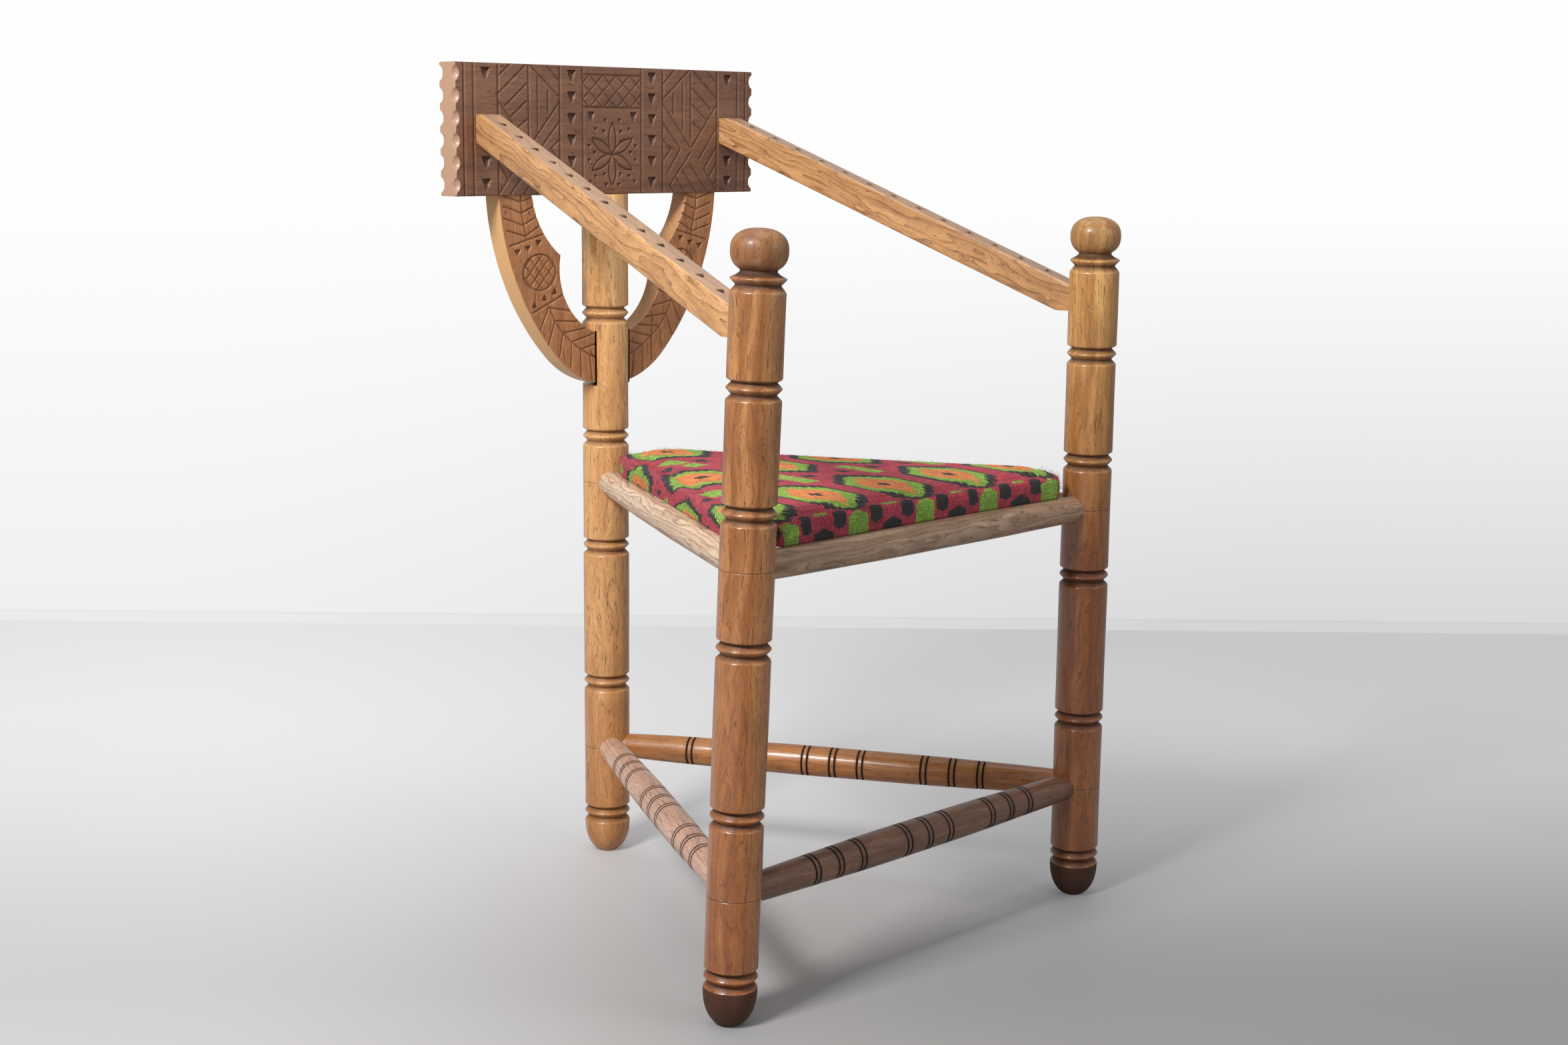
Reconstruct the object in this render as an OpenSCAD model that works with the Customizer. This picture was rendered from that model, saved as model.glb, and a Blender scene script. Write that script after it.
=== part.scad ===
// Three-post turned armchair with a carved back board and a loose triangular seat.
// Millimetres, +Z up, the front faces -Y, mirror-symmetric about X = 0.
// The origin lies on the floor under the middle of the chair's outline.

/* [Posts] */
// Diameter of the turned posts
post_d = 50; // [44:1:58]
// Half the distance between the two front feet
front_half_spread = 258; // [230:1:290]
// Distance from the line of the front feet back to the back post
chair_depth = 461; // [420:1:500]
// Angle by which the front posts lean towards each other
lean_in = 1.4; // [0:0.1:3]
// Angle by which the tops of the front posts lean forwards
lean_forward = 1.3; // [0:0.1:3]
// Heights of the rings that all three posts share
ring_heights = [46, 197, 351, 472.5];
// Height of the extra ring on the back post
back_ring_z = 607; // [590:1:625]
// Height of the extra ring on the front posts
front_ring_z = 582.5; // [570:1:600]
// Height of the flange under the ball of a front post
flange_z = 677.5; // [660:1:695]

/* [Turning] */
// Depth of a ring's V grooves
groove_depth = 5; // [2:0.5:7]
// Distance from a ring's sharp edge to the bottom of each of its grooves
groove_offset = 5.6; // [4:0.1:7]
// Height from a ring's edge up to the next plain section
section_gap_above = 8.4; // [8:0.1:11]
// Height from a ring's edge down to the plain section below
section_gap_below = 10.4; // [8:0.1:12]
// Flat on a ring's edge
ring_edge = 1.2; // [0.4:0.1:2]
// Diameter of the worn flat under a foot
foot_flat_d = 20; // [12:1:30]
// Largest diameter of the ball
ball_d = 51; // [44:1:56]
// Height of the ball above its largest diameter
ball_top_h = 19.6; // [15:0.1:24]
// Distance from the flange's edge up to the ball's largest diameter
ball_rise = 24; // [20:0.5:28]
// Diameter of the neck between ball and flange
neck_d = 33; // [26:1:38]
// Height of the neck's narrowest place above the flange's edge
neck_rise = 5; // [4:0.1:6]

/* [Back board] */
// Length of the back board
board_l = 420; // [380:2:460]
// Height of the back board
board_h = 134; // [120:1:150]
// Thickness of the back board
board_t = 25; // [22:1:30]
// Height of the back board's lower edge
board_z = 735; // [720:1:750]
// Distance of the back board's front face before the post's axis
board_front = 13.5; // [12:0.5:16]
// Scoops along each upright corner of the back board
scoop_count = 6; // [4:1:7]
// Radius of the gouge that cuts a scoop
scoop_r = 9.1; // [7:0.1:10]
// Distance of the gouge's centre outside both faces
scoop_out = 3.1; // [2:0.1:5]

/* [Carving] */
// Width of a scribed line on the back board
scribe_w = 1.6; // [0.8:0.1:3]
// Depth of a scribed line on the back board
scribe_depth = 1; // [0.5:0.1:2]
// Distances of the scribed uprights from the middle of the back board
scribe_x = [41.5, 73, 115, 155, 186.5, 199];
// Distance of the inner chip columns from the middle of the back board
chip_inner_x = 57; // [50:0.5:62]
// Chips in a column
chip_count = 6; // [3:1:7]
// Width of a chip
chip_w = 11; // [6:0.5:14]
// Height of a chip
chip_h = 13; // [8:0.5:16]
// Depth of a chip at its top edge
chip_depth = 4; // [2:0.5:6]
// Radius of the six-petal rosette
rosette_r = 34; // [20:1:38]
// Width of a petal
petal_w = 11; // [6:0.5:14]
// Height of the rosette's centre above the board's lower edge
rosette_z = 42; // [36:1:50]
// Height of the lattice band above the board's lower edge
lattice_z = 91; // [88:1:96]
// Height of the lattice band itself
lattice_h = 34; // [24:1:37]
// Chips along the top of an arm
arm_chip_count = 13; // [7:1:17]
// Width of an arm's chip
arm_chip_w = 9; // [6:0.5:12]
// Length of an arm's chip
arm_chip_l = 8; // [5:0.5:10]
// Depth of an arm's chip at its square end
arm_chip_depth = 2.5; // [1.5:0.5:4]

/* [Horseshoe brace] */
// Thickness of the brace
brace_t = 23; // [18:1:25]
// Radius of the brace's bottom bow
brace_bow_r = 107; // [95:1:120]
// Radius of the long outer flanks
brace_flank_r = 270; // [240:5:320]
// Height of the brace's lowest point
brace_bottom_z = 530; // [520:1:545]
// Radius of the round opening
brace_eye_r = 73; // [65:1:80]
// Height of the round opening's lowest point
brace_eye_z = 584; // [575:1:592]
// Radius of the two hollows above the cusps
brace_hollow_r = 96; // [90:1:105]
// Distance of a hollow's centre from the middle
brace_hollow_x = 14.7; // [5:0.1:22]
// Distance of a hollow's centre above the back board's lower edge
brace_hollow_rise = 14; // [5:1:20]
// Width of a brace tenon in the back board
brace_tenon_w = 26; // [16:1:32]
// Thickness of a brace tenon
brace_tenon_t = 9; // [6:1:12]
// Length of a brace tenon
brace_tenon_l = 20; // [12:1:26]
// Diameter of the round tenon on top of the back post
spigot_d = 14; // [10:1:17]
// Length of the round tenon on top of the back post
spigot_l = 30; // [20:1:40]
// Diameter of the peg through the brace and the post
peg_d = 8; // [6:0.5:10]

/* [Arms] */
// Height of an arm's section, across its slope
arm_h = 31; // [26:1:36]
// Width of an arm's section
arm_w = 25; // [20:1:30]
// Distance of an arm from the middle at the back board
arm_back_x = 171; // [150:1:185]
// Height of an arm's centre line at the back board
arm_back_z = 804.5; // [780:0.5:820]
// Height of an arm's centre line at the front post's axis
arm_front_z = 627; // [620:1:640]
// Drop of the level cut at an arm's upper corner
arm_upper_trim = 4; // [1:0.5:6]
// Rise of the level cut at an arm's lower corner
arm_lower_trim = 5; // [1:0.5:8]
// Diameter of an arm dowel
arm_dowel_d = 10; // [8:0.5:12]
// Length of an arm dowel inside the arm
arm_dowel_in_arm = 22; // [16:1:30]
// Length of an arm dowel inside the back board or the post
arm_dowel_in_post = 14; // [10:1:16]

/* [Rails and stretchers] */
// Height of the seat rails' centre line
rail_z = 422; // [405:1:440]
// Diameter of a seat rail at mid length
rail_mid_d = 30; // [26:1:34]
// Diameter of a seat rail where it enters a post
rail_end_d = 26.5; // [22:0.5:28]
// Height of the stretchers' centre line
stretcher_z = 122; // [105:1:140]
// Diameter of a stretcher at mid length
stretcher_mid_d = 33; // [28:1:36]
// Diameter of a stretcher where it enters a post
stretcher_end_d = 26; // [22:0.5:28]
// Depth to which the bars go into a post, measured from its surface
socket_depth = 17; // [12:1:20]
// Distance between double lines in a group on a stretcher
mark_pitch = 31; // [20:1:34]
// Distance between the two grooves of a double line
mark_gap = 6; // [4:0.5:9]
// Width of a stretcher's groove
mark_w = 1.8; // [1:0.1:3]
// Depth of a stretcher's groove
mark_depth = 1; // [0.5:0.1:2]

/* [Seat] */
// Thickness of the seat board
seat_board_t = 9; // [6:0.5:14]
// Thickness of the wool cover
cover_t = 2; // [1.5:0.1:3]
// Height of the seat at its upper edge, from the underside of the hem
seat_edge_h = 24; // [20:0.5:32]
// Rise of the crown above the upper edge
crown_h = 4; // [2:0.5:12]
// Free distance between the seat's front corners and the front posts
front_corner_gap = 12; // [8:1:30]
// Free distance between the seat's back corner and the back post
back_corner_gap = 30; // [8:1:50]
// Radius of the seat's corners in plan
seat_corner_r = 14; // [10:1:20]
// Distance by which the long sides draw in between the corners
side_draw = 2.5; // [0:0.5:6]
// Radius of the rolled upper edge
roll_r = 7; // [5:0.5:9]
// Radius of the lower edge, where the cover turns under
hem_edge_r = 2; // [1:0.1:3]
// Distance by which the side draws in towards its foot
foot_draw = 0.2; // [0.1:0.1:0.5]
// Distance by which the side draws in towards the rolled edge
top_draw = 0.8; // [0.4:0.1:1.5]
// Free space between the cover's lining and the edge of the board
board_play = 1; // [0.5:0.1:2]
// Width of the hem turned under the board
hem_w = 13; // [10:1:15]
// Distance of the tacks from the seat's outer edge
tack_inset = 9; // [7:0.5:10]
// Tacks along each long side
tack_count = 6; // [3:1:9]
// Diameter of a tack's head
tack_head_d = 5; // [4:0.5:6]
// Thickness of a tack's head
tack_head_t = 0.8; // [0.5:0.1:1]
// Diameter of a tack's shank
tack_shank_d = 1.4; // [1:0.1:2]
// Length of a tack's shank
tack_shank_l = 7; // [5:0.5:9]
// Width of a locating cleat
cleat_w = 16; // [12:1:24]
// Height of a locating cleat
cleat_h = 14; // [10:1:20]
// Free distance between a cleat and the rail beside it
cleat_gap = 2; // [1:0.5:5]
// Part of a long side that its cleat covers
cleat_share = 0.5; // [0.3:0.05:0.6]
// Diameter of a cleat screw's shank
cleat_screw_d = 3.5; // [3:0.5:4.5]
// Length of a cleat screw
cleat_screw_l = 20; // [18:1:21]

/* [Clearances] */
// Gap round a glued tenon or dowel
glue_gap = 0.15; // [0.05:0.05:0.4]
// Gap between bars that meet inside a post
mitre_gap = 1; // [0.4:0.2:3]
// Gap under the loose seat and round its board and padding
rest_gap = 0.3; // [0.2:0.05:0.6]

/* [Hidden] */
$fn = 64;

// Extra length by which a cutting tool passes a face
over = 5;
post_r = post_d / 2;

// Places of the posts, before the shift that centres the chair on the origin
ball_z = flange_z + ball_rise;
front_reach = -ball_z * tan(lean_forward) - ball_d / 2;
back_reach = chair_depth + post_r;
shift_y = -(front_reach + back_reach) / 2;
back_y = chair_depth + shift_y;
front_y = shift_y;

// Point on the axis of a front post, side -1 left or 1 right, and of the back post
function front_axis(side, z) = [
    side * (front_half_spread - z * tan(lean_in)),
    front_y - z * tan(lean_forward),
    z
];
function back_axis(z) = [0, back_y, z];

// Turning profiles: lists of [radius, height] from the bottom up
function ring(z) = [
    [post_r, z - section_gap_below],
    [post_r - groove_depth, z - groove_offset],
    [post_r, z - ring_edge / 2],
    [post_r, z + ring_edge / 2],
    [post_r - groove_depth, z + groove_offset],
    [post_r, z + section_gap_above]
];
function rings(heights) = [for (z = heights) each ring(z)];

// A bullet foot: a superellipse quarter up to the full radius. It starts below the floor, so
// that the level cut leaves the worn flat, on a leaning post too
foot_top_z = ring_heights[0] - section_gap_below;
foot_power = 2.3;
foot_steps = 8;
foot_sink = 2;
function bullet_r(h) = post_r * pow(1 - pow(1 - h, foot_power), 1 / foot_power);
foot_start = 1 - pow(1 - pow(foot_flat_d / post_d, foot_power), 1 / foot_power);
foot_tip = foot_start / (1 - foot_start) * foot_top_z;
function foot_point(z) = [bullet_r((z + foot_tip) / (foot_top_z + foot_tip)), z];
foot_profile = [
    [foot_flat_d / 2 - foot_sink, -foot_sink],
    for (i = [1 : foot_steps - 1])
        foot_point(foot_top_z * pow(i / foot_steps, 1.6))
];

// A flattened ball on a neck: a superellipse from the neck round to the small flat on top
ball_power = 2.4;
ball_steps = 20;
ball_end_angle = 87;
ball_low_angle = asin(pow(1 - pow(neck_d / ball_d, ball_power), 0.5));
function ball_point(a) = [
    ball_d / 2 * pow(cos(a), 2 / ball_power),
    ball_z + sign(a) * ball_top_h * pow(abs(sin(a)), 2 / ball_power)
];
ball_profile = [
    for (i = [0 : ball_steps])
        ball_point(-ball_low_angle + (ball_end_angle + ball_low_angle) * i / ball_steps)
];
finial_profile = concat(
    [
        [post_r, flange_z - section_gap_below - ring_edge],
        [post_r - groove_depth, flange_z - groove_offset],
        [post_r, flange_z - ring_edge / 2],
        [post_r, flange_z + ring_edge / 2],
        [neck_d / 2 + (post_r - neck_d / 2) * 0.35, flange_z + (ring_edge + neck_rise) / 2],
        [neck_d / 2, flange_z + ring_edge / 2 + neck_rise]
    ],
    ball_profile
);

// Moves its children so that their Z axis runs from one point towards another
module along(from, to) {
    v = to - from;
    translate(from)
        rotate([0, acos(v[2] / norm(v)), atan2(v[1], v[0])])
            children();
}

// A turned solid from a profile that starts and ends away from the axis
module turned(profile) {
    first = profile[0];
    last = profile[len(profile) - 1];
    rotate_extrude()
        polygon(concat([[0, first[1]]], profile, [[0, last[1]]]));
}

// Bars between posts, as [start, end] on the posts' axes
function front_bar(z) = [front_axis(-1, z), front_axis(1, z)];
function side_bar(side, z) = [back_axis(z), front_axis(side, z)];
function unit(v) = v / norm(v);
function bar_length(bar) = norm(bar[1] - bar[0]);

// How far from a post's axis a bar ends inside the post
socket_stop = post_r - socket_depth;

// A barrel-shaped bar: radius at a share s of its length, a flat-topped sine bow
bar_steps = 14;
function barrel_r(mid_d, end_d, s) = end_d / 2 + (mid_d - end_d) / 2 * pow(sin(180 * s), 0.7);

// Straight end stretches inside the posts, the bow between them
function barrel(mid_d, end_d, l) = [
    [end_d / 2, socket_stop],
    for (i = [0 : bar_steps])
        let (s = i / bar_steps)
            [barrel_r(mid_d, end_d, s), post_r + (l - post_d) * s],
    [end_d / 2, l - socket_stop]
];

// Middles of the scribed grooves along a stretcher of length l
function marks(l) = [
    for (group = [-1 : 1], line = [-1 : 1], half = [-1, 1])
        l / 2 + group * l / 4 + line * mark_pitch + half * mark_gap / 2
];

// The half space on a bar's own side of the mitre where two bars meet in a post
module mitre_cut(at, own, other) {
    across = unit(unit(own - at) - unit(other - at));
    big = 4 * post_d;
    translate(at)
        rotate([0, 0, atan2(across[1], across[0])])
            translate([-big + mitre_gap / 2, -big / 2, -big / 2])
                cube(big);
}

module bar(mid_d, end_d, ends, third) {
    l = bar_length(ends);
    difference() {
        along(ends[0], ends[1])
            turned(barrel(mid_d, end_d, l));
        mitre_cut(ends[0], ends[1], third);
        mitre_cut(ends[1], ends[0], third);
    }
}

// The seat rails are planed level on top where the loose seat bears on them
rail_flat_z = rail_z + rail_end_d / 2;

module seat_rail(ends, third) {
    color("tan")
        difference() {
            bar(rail_mid_d, rail_end_d, ends, third);
            translate([-2 * front_half_spread, -chair_depth, rail_flat_z])
                cube([4 * front_half_spread, 2 * chair_depth, rail_mid_d]);
        }
}

module stretcher(ends, third) {
    l = bar_length(ends);
    color("peru")
        difference() {
            bar(stretcher_mid_d, stretcher_end_d, ends, third);
            along(ends[0], ends[1])
                for (m = marks(l))
                    mark_ring(m, barrel_r(stretcher_mid_d, stretcher_end_d, (m - post_r) / (l - post_d)));
        }
}

// One V groove round a stretcher
module mark_ring(at, r) {
    rotate_extrude()
        polygon([
            [r - mark_depth, at],
            [r + mark_depth, at - mark_w],
            [r + mark_depth, at + mark_w]
        ]);
}

// Round sockets for the two bars that enter a post. The second is drilled a little deeper
second_deeper = 1.5;

module sockets(at, first, second, d) {
    for (to = [[first, 0], [second, second_deeper]])
        along(at, to[0])
            translate([0, 0, socket_stop - glue_gap - to[1]])
                cylinder(h = 2 * post_d, d = d + 2 * glue_gap);
}

module bar_sockets_front(side) {
    for (bar = [[rail_z, rail_end_d], [stretcher_z, stretcher_end_d]])
        sockets(
            front_axis(side, bar[0]),
            front_axis(-side, bar[0]),
            back_axis(bar[0]),
            bar[1]
        );
}

module bar_sockets_back() {
    for (bar = [[rail_z, rail_end_d], [stretcher_z, stretcher_end_d]])
        sockets(
            back_axis(bar[0]),
            front_axis(-1, bar[0]),
            front_axis(1, bar[0]),
            bar[1]
        );
}

// Everything below the floor
module floor_cut() {
    translate([-2 * front_half_spread, -2 * chair_depth, -post_d])
        cube([4 * front_half_spread, 4 * chair_depth, post_d]);
}

// A turned surface starts on its X axis, which along() lays in the plane of the lean.
// A quarter turn takes that seam off the foot's lowest point
seam_turn = 90;

module front_post(side) {
    profile = concat(
        foot_profile,
        rings(concat(ring_heights, [front_ring_z])),
        finial_profile
    );
    color("sienna")
        difference() {
            along(front_axis(side, 0), front_axis(side, 1000))
                rotate(seam_turn)
                    turned(profile);
            floor_cut();
            bar_sockets_front(side);
            arm_dowel_bore(arm_front_point(side), arm_back_point(side), arm_front_stop, arm_dowel_in_post);
        }
}

// The back board's centre plane and faces
board_front_y = back_y - board_front;
board_top_z = board_z + board_h;
brace_front_y = back_y - brace_t / 2;

module back_post() {
    profile = concat(foot_profile, rings(concat(ring_heights, [back_ring_z])), [[post_r, board_z]]);
    color("sienna")
        difference() {
            union() {
                translate([0, back_y, 0])
                    turned(profile);
                translate([0, back_y, board_z - over])
                    cylinder(h = spigot_l + over, d = spigot_d);
            }
            floor_cut();
            translate([-post_d, brace_front_y, brace_bottom_z])
                cube([2 * post_d, post_d, brace_notch_top - brace_bottom_z]);
            bar_sockets_back();
            peg_bore();
        }
}

// The brace's outline: two long flanks that run into a round bow, an eye and two hollows
bow_centre_z = brace_bottom_z + brace_bow_r;
flank_angle = 45;
flank_centre_x = (brace_flank_r - brace_bow_r) * sin(flank_angle);
flank_centre_z = bow_centre_z + (brace_flank_r - brace_bow_r) * cos(flank_angle);
flank_start_z = bow_centre_z - brace_bow_r * cos(flank_angle);
eye_centre_z = brace_eye_z + brace_eye_r;
hollow_centre_z = board_z + brace_hollow_rise;
brace_outer_top_x = sqrt(pow(brace_flank_r, 2) - pow(flank_centre_z - board_z, 2)) - flank_centre_x;
brace_inner_top_x = sqrt(pow(brace_hollow_r, 2) - pow(brace_hollow_rise, 2)) + brace_hollow_x;
brace_tenon_x = (brace_outer_top_x + brace_inner_top_x) / 2;

// The notch is as tall as the brace is where the notch ends on the post's surface
brace_notch_top = eye_centre_z - sqrt(pow(brace_eye_r, 2) - pow(post_r, 2)) + glue_gap;

module brace_outline() {
    reach = 4 * brace_bow_r;
    difference() {
        union() {
            intersection() {
                translate([flank_centre_x, flank_centre_z])
                    circle(brace_flank_r, $fn = 180);
                translate([-flank_centre_x, flank_centre_z])
                    circle(brace_flank_r, $fn = 180);
                translate([-reach / 2, flank_start_z])
                    square([reach, board_z - flank_start_z]);
            }
            translate([0, bow_centre_z])
                circle(brace_bow_r, $fn = 120);
        }
        translate([0, eye_centre_z])
            circle(brace_eye_r, $fn = 120);
        for (side = [-1, 1])
            translate([side * brace_hollow_x, hollow_centre_z])
                circle(brace_hollow_r, $fn = 120);
        translate([-reach / 2, board_z])
            square([reach, reach]);
    }
}

// Stands a drawing in the XZ plane, t thick, with its front face at y
module upright(y, t) {
    translate([0, y + t, 0])
        rotate([90, 0, 0])
            linear_extrude(t)
                children();
}

module horseshoe_brace() {
    color("chocolate")
        difference() {
            union() {
                upright(brace_front_y, brace_t)
                    brace_outline();
                for (side = [-1, 1])
                    brace_tenon(side, 0);
            }
            peg_bore();
        }
}

module brace_tenon(side, gap) {
    translate([
        side * brace_tenon_x - brace_tenon_w / 2 - gap,
        back_y - brace_tenon_t / 2 - gap,
        board_z - over
    ])
        cube([brace_tenon_w + 2 * gap, brace_tenon_t + 2 * gap, brace_tenon_l + over + gap]);
}

// The peg runs forwards from the brace's back face into the post
peg_z = (brace_bottom_z + brace_eye_z) / 2;
peg_l = brace_t + post_r - brace_t / 2 - 5;

module peg(d, l) {
    translate([0, brace_front_y + brace_t, peg_z])
        rotate([90, 0, 0])
            cylinder(h = l, d = d);
}

module peg_bore() {
    translate([0, over, 0])
        peg(peg_d + 2 * glue_gap, peg_l + over + glue_gap);
}

module brace_peg() {
    color("burlywood")
        peg(peg_d, peg_l);
}

// Six scoops down each upright corner
module scoops() {
    pitch = board_h / scoop_count;
    for (side = [-1, 1], back = [0, 1], i = [0 : scoop_count - 1])
        translate([
            side * (board_l / 2 + scoop_out),
            board_front_y - scoop_out + back * (board_t + 2 * scoop_out),
            board_z + (i + 0.5) * pitch
        ])
            sphere(scoop_r);
}

// A chip in the XZ plane: point down, square top edge, its floor slopes from the point
// on the surface Y = 0 down to the full depth at the top edge
module chip(w, h, depth) {
    translate([0, 0, -h / 2])
        rotate([-atan2(depth, h), 0, 0])
            upright(-over, over)
                polygon([[0, 0], [w / 2, norm([h, depth])], [-w / 2, norm([h, depth])]]);
}

// Columns of chips, left free where an arm covers the board
module board_chips() {
    pitch = board_h / chip_count;
    for (side = [-1, 1], x = [chip_inner_x, arm_back_x], i = [0 : chip_count - 1]) {
        z = board_z + (i + 0.5) * pitch;
        covered = x == arm_back_x && abs(z - arm_back_z) < arm_half_rise + chip_h / 2 + 1;
        if (!covered)
            translate([side * x, board_front_y, z])
                chip(chip_w, chip_h, chip_depth);
    }
}

// A scribed V line of length l, upwards from its start on the board's front
module scribed(l) {
    translate([0, board_front_y, 0])
        linear_extrude(l)
            polygon([[-scribe_w, -scribe_depth], [scribe_w, -scribe_depth], [0, scribe_depth]]);
}

module board_lines() {
    for (side = [-1, 1], x = scribe_x)
        translate([side * x, 0, board_z - over])
            scribed(board_h + 2 * over);
    for (z = [lattice_z, lattice_z + lattice_h])
        translate([-scribe_x[0], 0, board_z + z])
            rotate([0, 90, 0])
                scribed(2 * scribe_x[0]);
}

// A petal's outline: a groove between two lenses, from the rosette's centre outwards
module lens(l, w) {
    bow_r = (l * l + w * w) / (4 * w);
    intersection_for (side = [-1, 1])
        translate([side * (bow_r - w / 2), 0])
            circle(bow_r, $fn = 120);
}

module rosette() {
    translate([0, 0, board_z + rosette_z])
        upright(board_front_y - over, over + scribe_depth)
            for (i = [0 : 5])
                rotate(i * 60)
                    translate([0, rosette_r / 2 + scribe_w / 2])
                        difference() {
                            lens(rosette_r - scribe_w, petal_w);
                            lens(rosette_r - 4 * scribe_w, petal_w - 2 * scribe_w);
                        }
}

module back_board() {
    color("saddlebrown")
        difference() {
            translate([-board_l / 2, board_front_y, board_z])
                cube([board_l, board_t, board_h]);
            scoops();
            board_lines();
            board_chips();
            rosette();
            translate([0, back_y, board_z - over])
                cylinder(h = spigot_l + over + glue_gap, d = spigot_d + 2 * glue_gap);
            for (side = [-1, 1]) {
                brace_tenon(side, glue_gap);
                arm_dowel_bore(arm_back_point(side), arm_front_point(side), 0, arm_dowel_in_post);
            }
        }
}

// An arm's centre line runs from the back board's face to the front post's axis
function arm_back_point(side) = [side * arm_back_x, board_front_y, arm_back_z];
function arm_front_point(side) = front_axis(side, arm_front_z);

// Distance from the front post's axis at which its surface crosses an arm's centre line
arm_run = arm_back_point(1) - arm_front_point(1);
arm_slope = asin(arm_run[2] / norm(arm_run));
arm_front_stop = post_r / cos(arm_slope);

// Half of an arm's height measured straight up
arm_half_rise = arm_h / 2 / cos(arm_slope);

// A dowel bore from a point towards another, centred where the pieces meet
module arm_dowel_bore(from, to, meet, depth) {
    along(from, to)
        translate([0, 0, meet - depth - glue_gap])
            cylinder(h = depth + arm_dowel_in_arm + 2 * glue_gap, d = arm_dowel_d + 2 * glue_gap);
}

module arm(side) {
    back = arm_back_point(side);
    front = arm_front_point(side);
    l = norm(back - front);
    color("goldenrod")
        difference() {
            along(front, back)
                translate([-arm_h / 2, -arm_w / 2, 0])
                    cube([arm_h, arm_w, l + post_d]);
            translate([-board_l, board_front_y, 0])
                cube([2 * board_l, 2 * post_d, 2 * board_top_z]);
            along(front_axis(side, 0), front_axis(side, 1000))
                cylinder(h = 2 * flange_z, r = post_r + glue_gap);
            translate([-board_l, -chair_depth, arm_back_z + arm_half_rise - arm_upper_trim])
                cube([2 * board_l, 2 * chair_depth, 2 * arm_h]);
            translate([-board_l, -chair_depth, arm_front_low_z - 2 * arm_h])
                cube([2 * board_l, 2 * chair_depth, 2 * arm_h]);
            arm_dowel_bore(back, front, 0, arm_dowel_in_post);
            arm_dowel_bore(front, back, arm_front_stop, arm_dowel_in_post);
            along(front, back)
                for (i = [1 : arm_chip_count])
                    translate([-arm_h / 2, 0, arm_front_stop + (l - arm_front_stop) * i / (arm_chip_count + 1)])
                        rotate([0, 0, -90])
                            chip(arm_chip_w, arm_chip_l, arm_chip_depth);
        }
}

// Level of the cut at an arm's lower corner, above where its underside meets the post
arm_front_low_z = arm_front_z + arm_front_stop * sin(arm_slope) - arm_half_rise + arm_lower_trim;

module arm_dowel(from, to, meet) {
    along(from, to)
        translate([0, 0, meet - arm_dowel_in_post])
            cylinder(h = arm_dowel_in_post + arm_dowel_in_arm, d = arm_dowel_d);
}

module arm_dowels() {
    color("burlywood")
        for (side = [-1, 1]) {
            arm_dowel(arm_back_point(side), arm_front_point(side), 0);
            arm_dowel(arm_front_point(side), arm_back_point(side), arm_front_stop);
        }
}

// The seat's plan: the triangle over the rails' centre lines, with its corners cut square
// to the posts, as [x, y] counter-clockwise from the left front
seat_z = rail_flat_z + rest_gap;
seat_front = front_axis(1, rail_flat_z);
seat_left = front_axis(-1, rail_flat_z);
seat_back = back_axis(rail_flat_z);
seat_tips = [
    [seat_left[0], seat_left[1]],
    [seat_front[0], seat_front[1]],
    [seat_back[0], seat_back[1]]
];
seat_mid = (seat_tips[0] + seat_tips[1] + seat_tips[2]) / 3;
tip_cuts = [
    post_r + front_corner_gap,
    post_r + front_corner_gap,
    post_r + back_corner_gap
];

// The two plan corners that the square cut leaves at tip i
function tip_cut_corners(i) =
    let (
        tip = seat_tips[i],
        before = unit(seat_tips[(i + 2) % 3] - tip),
        after = unit(seat_tips[(i + 1) % 3] - tip),
        inward = unit(before + after),
        reach = tip_cuts[i] / (before * inward)
    )
    [tip + before * reach, tip + after * reach];
seat_corners = [for (i = [0 : 2]) each tip_cut_corners(i)];

// A rounded corner as rim samples [x, y, outward x, outward y]
corner_steps = 4;
function turn_sample(i, step) =
    let (
        c = seat_corners[i],
        a = unit(c - seat_corners[(i + 5) % 6]),
        b = unit(seat_corners[(i + 1) % 6] - c),
        turn = acos(a * b),
        centre = c + seat_corner_r * (unit(b - a) / cos(turn / 2)),
        angle = atan2(-a[0], a[1]) + turn * step / corner_steps
    )
    [
        centre[0] + seat_corner_r * cos(angle),
        centre[1] + seat_corner_r * sin(angle),
        cos(angle),
        sin(angle)
    ];

// A long side's inner samples, drawn in by a sine bow
side_steps = 9;
function side_sample(p, q, step) =
    let (
        s = step / side_steps,
        n = [p[2], p[3]],
        at = [p[0], p[1]] * (1 - s) + [q[0], q[1]] * s - n * side_draw * sin(180 * s)
    )
    [at[0], at[1], n[0], n[1]];
seat_rim = [
    for (i = [0 : 5])
        each concat(
            [for (step = [0 : corner_steps]) turn_sample(i, step)],
            i % 2 == 0 ? [] : [
                for (step = [1 : side_steps - 1])
                    side_sample(turn_sample(i, corner_steps), turn_sample((i + 1) % 6, 0), step)
            ]
        )
];
rim_count = len(seat_rim);

// A level ring of 3-D points: the rim moved inwards, then drawn towards the middle
function rim_ring(inset, share, z) = [
    for (p = seat_rim)
        let (at = [p[0] - p[2] * inset, p[1] - p[3] * inset])
            concat(seat_mid + (at - seat_mid) * share, [z])
];

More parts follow.
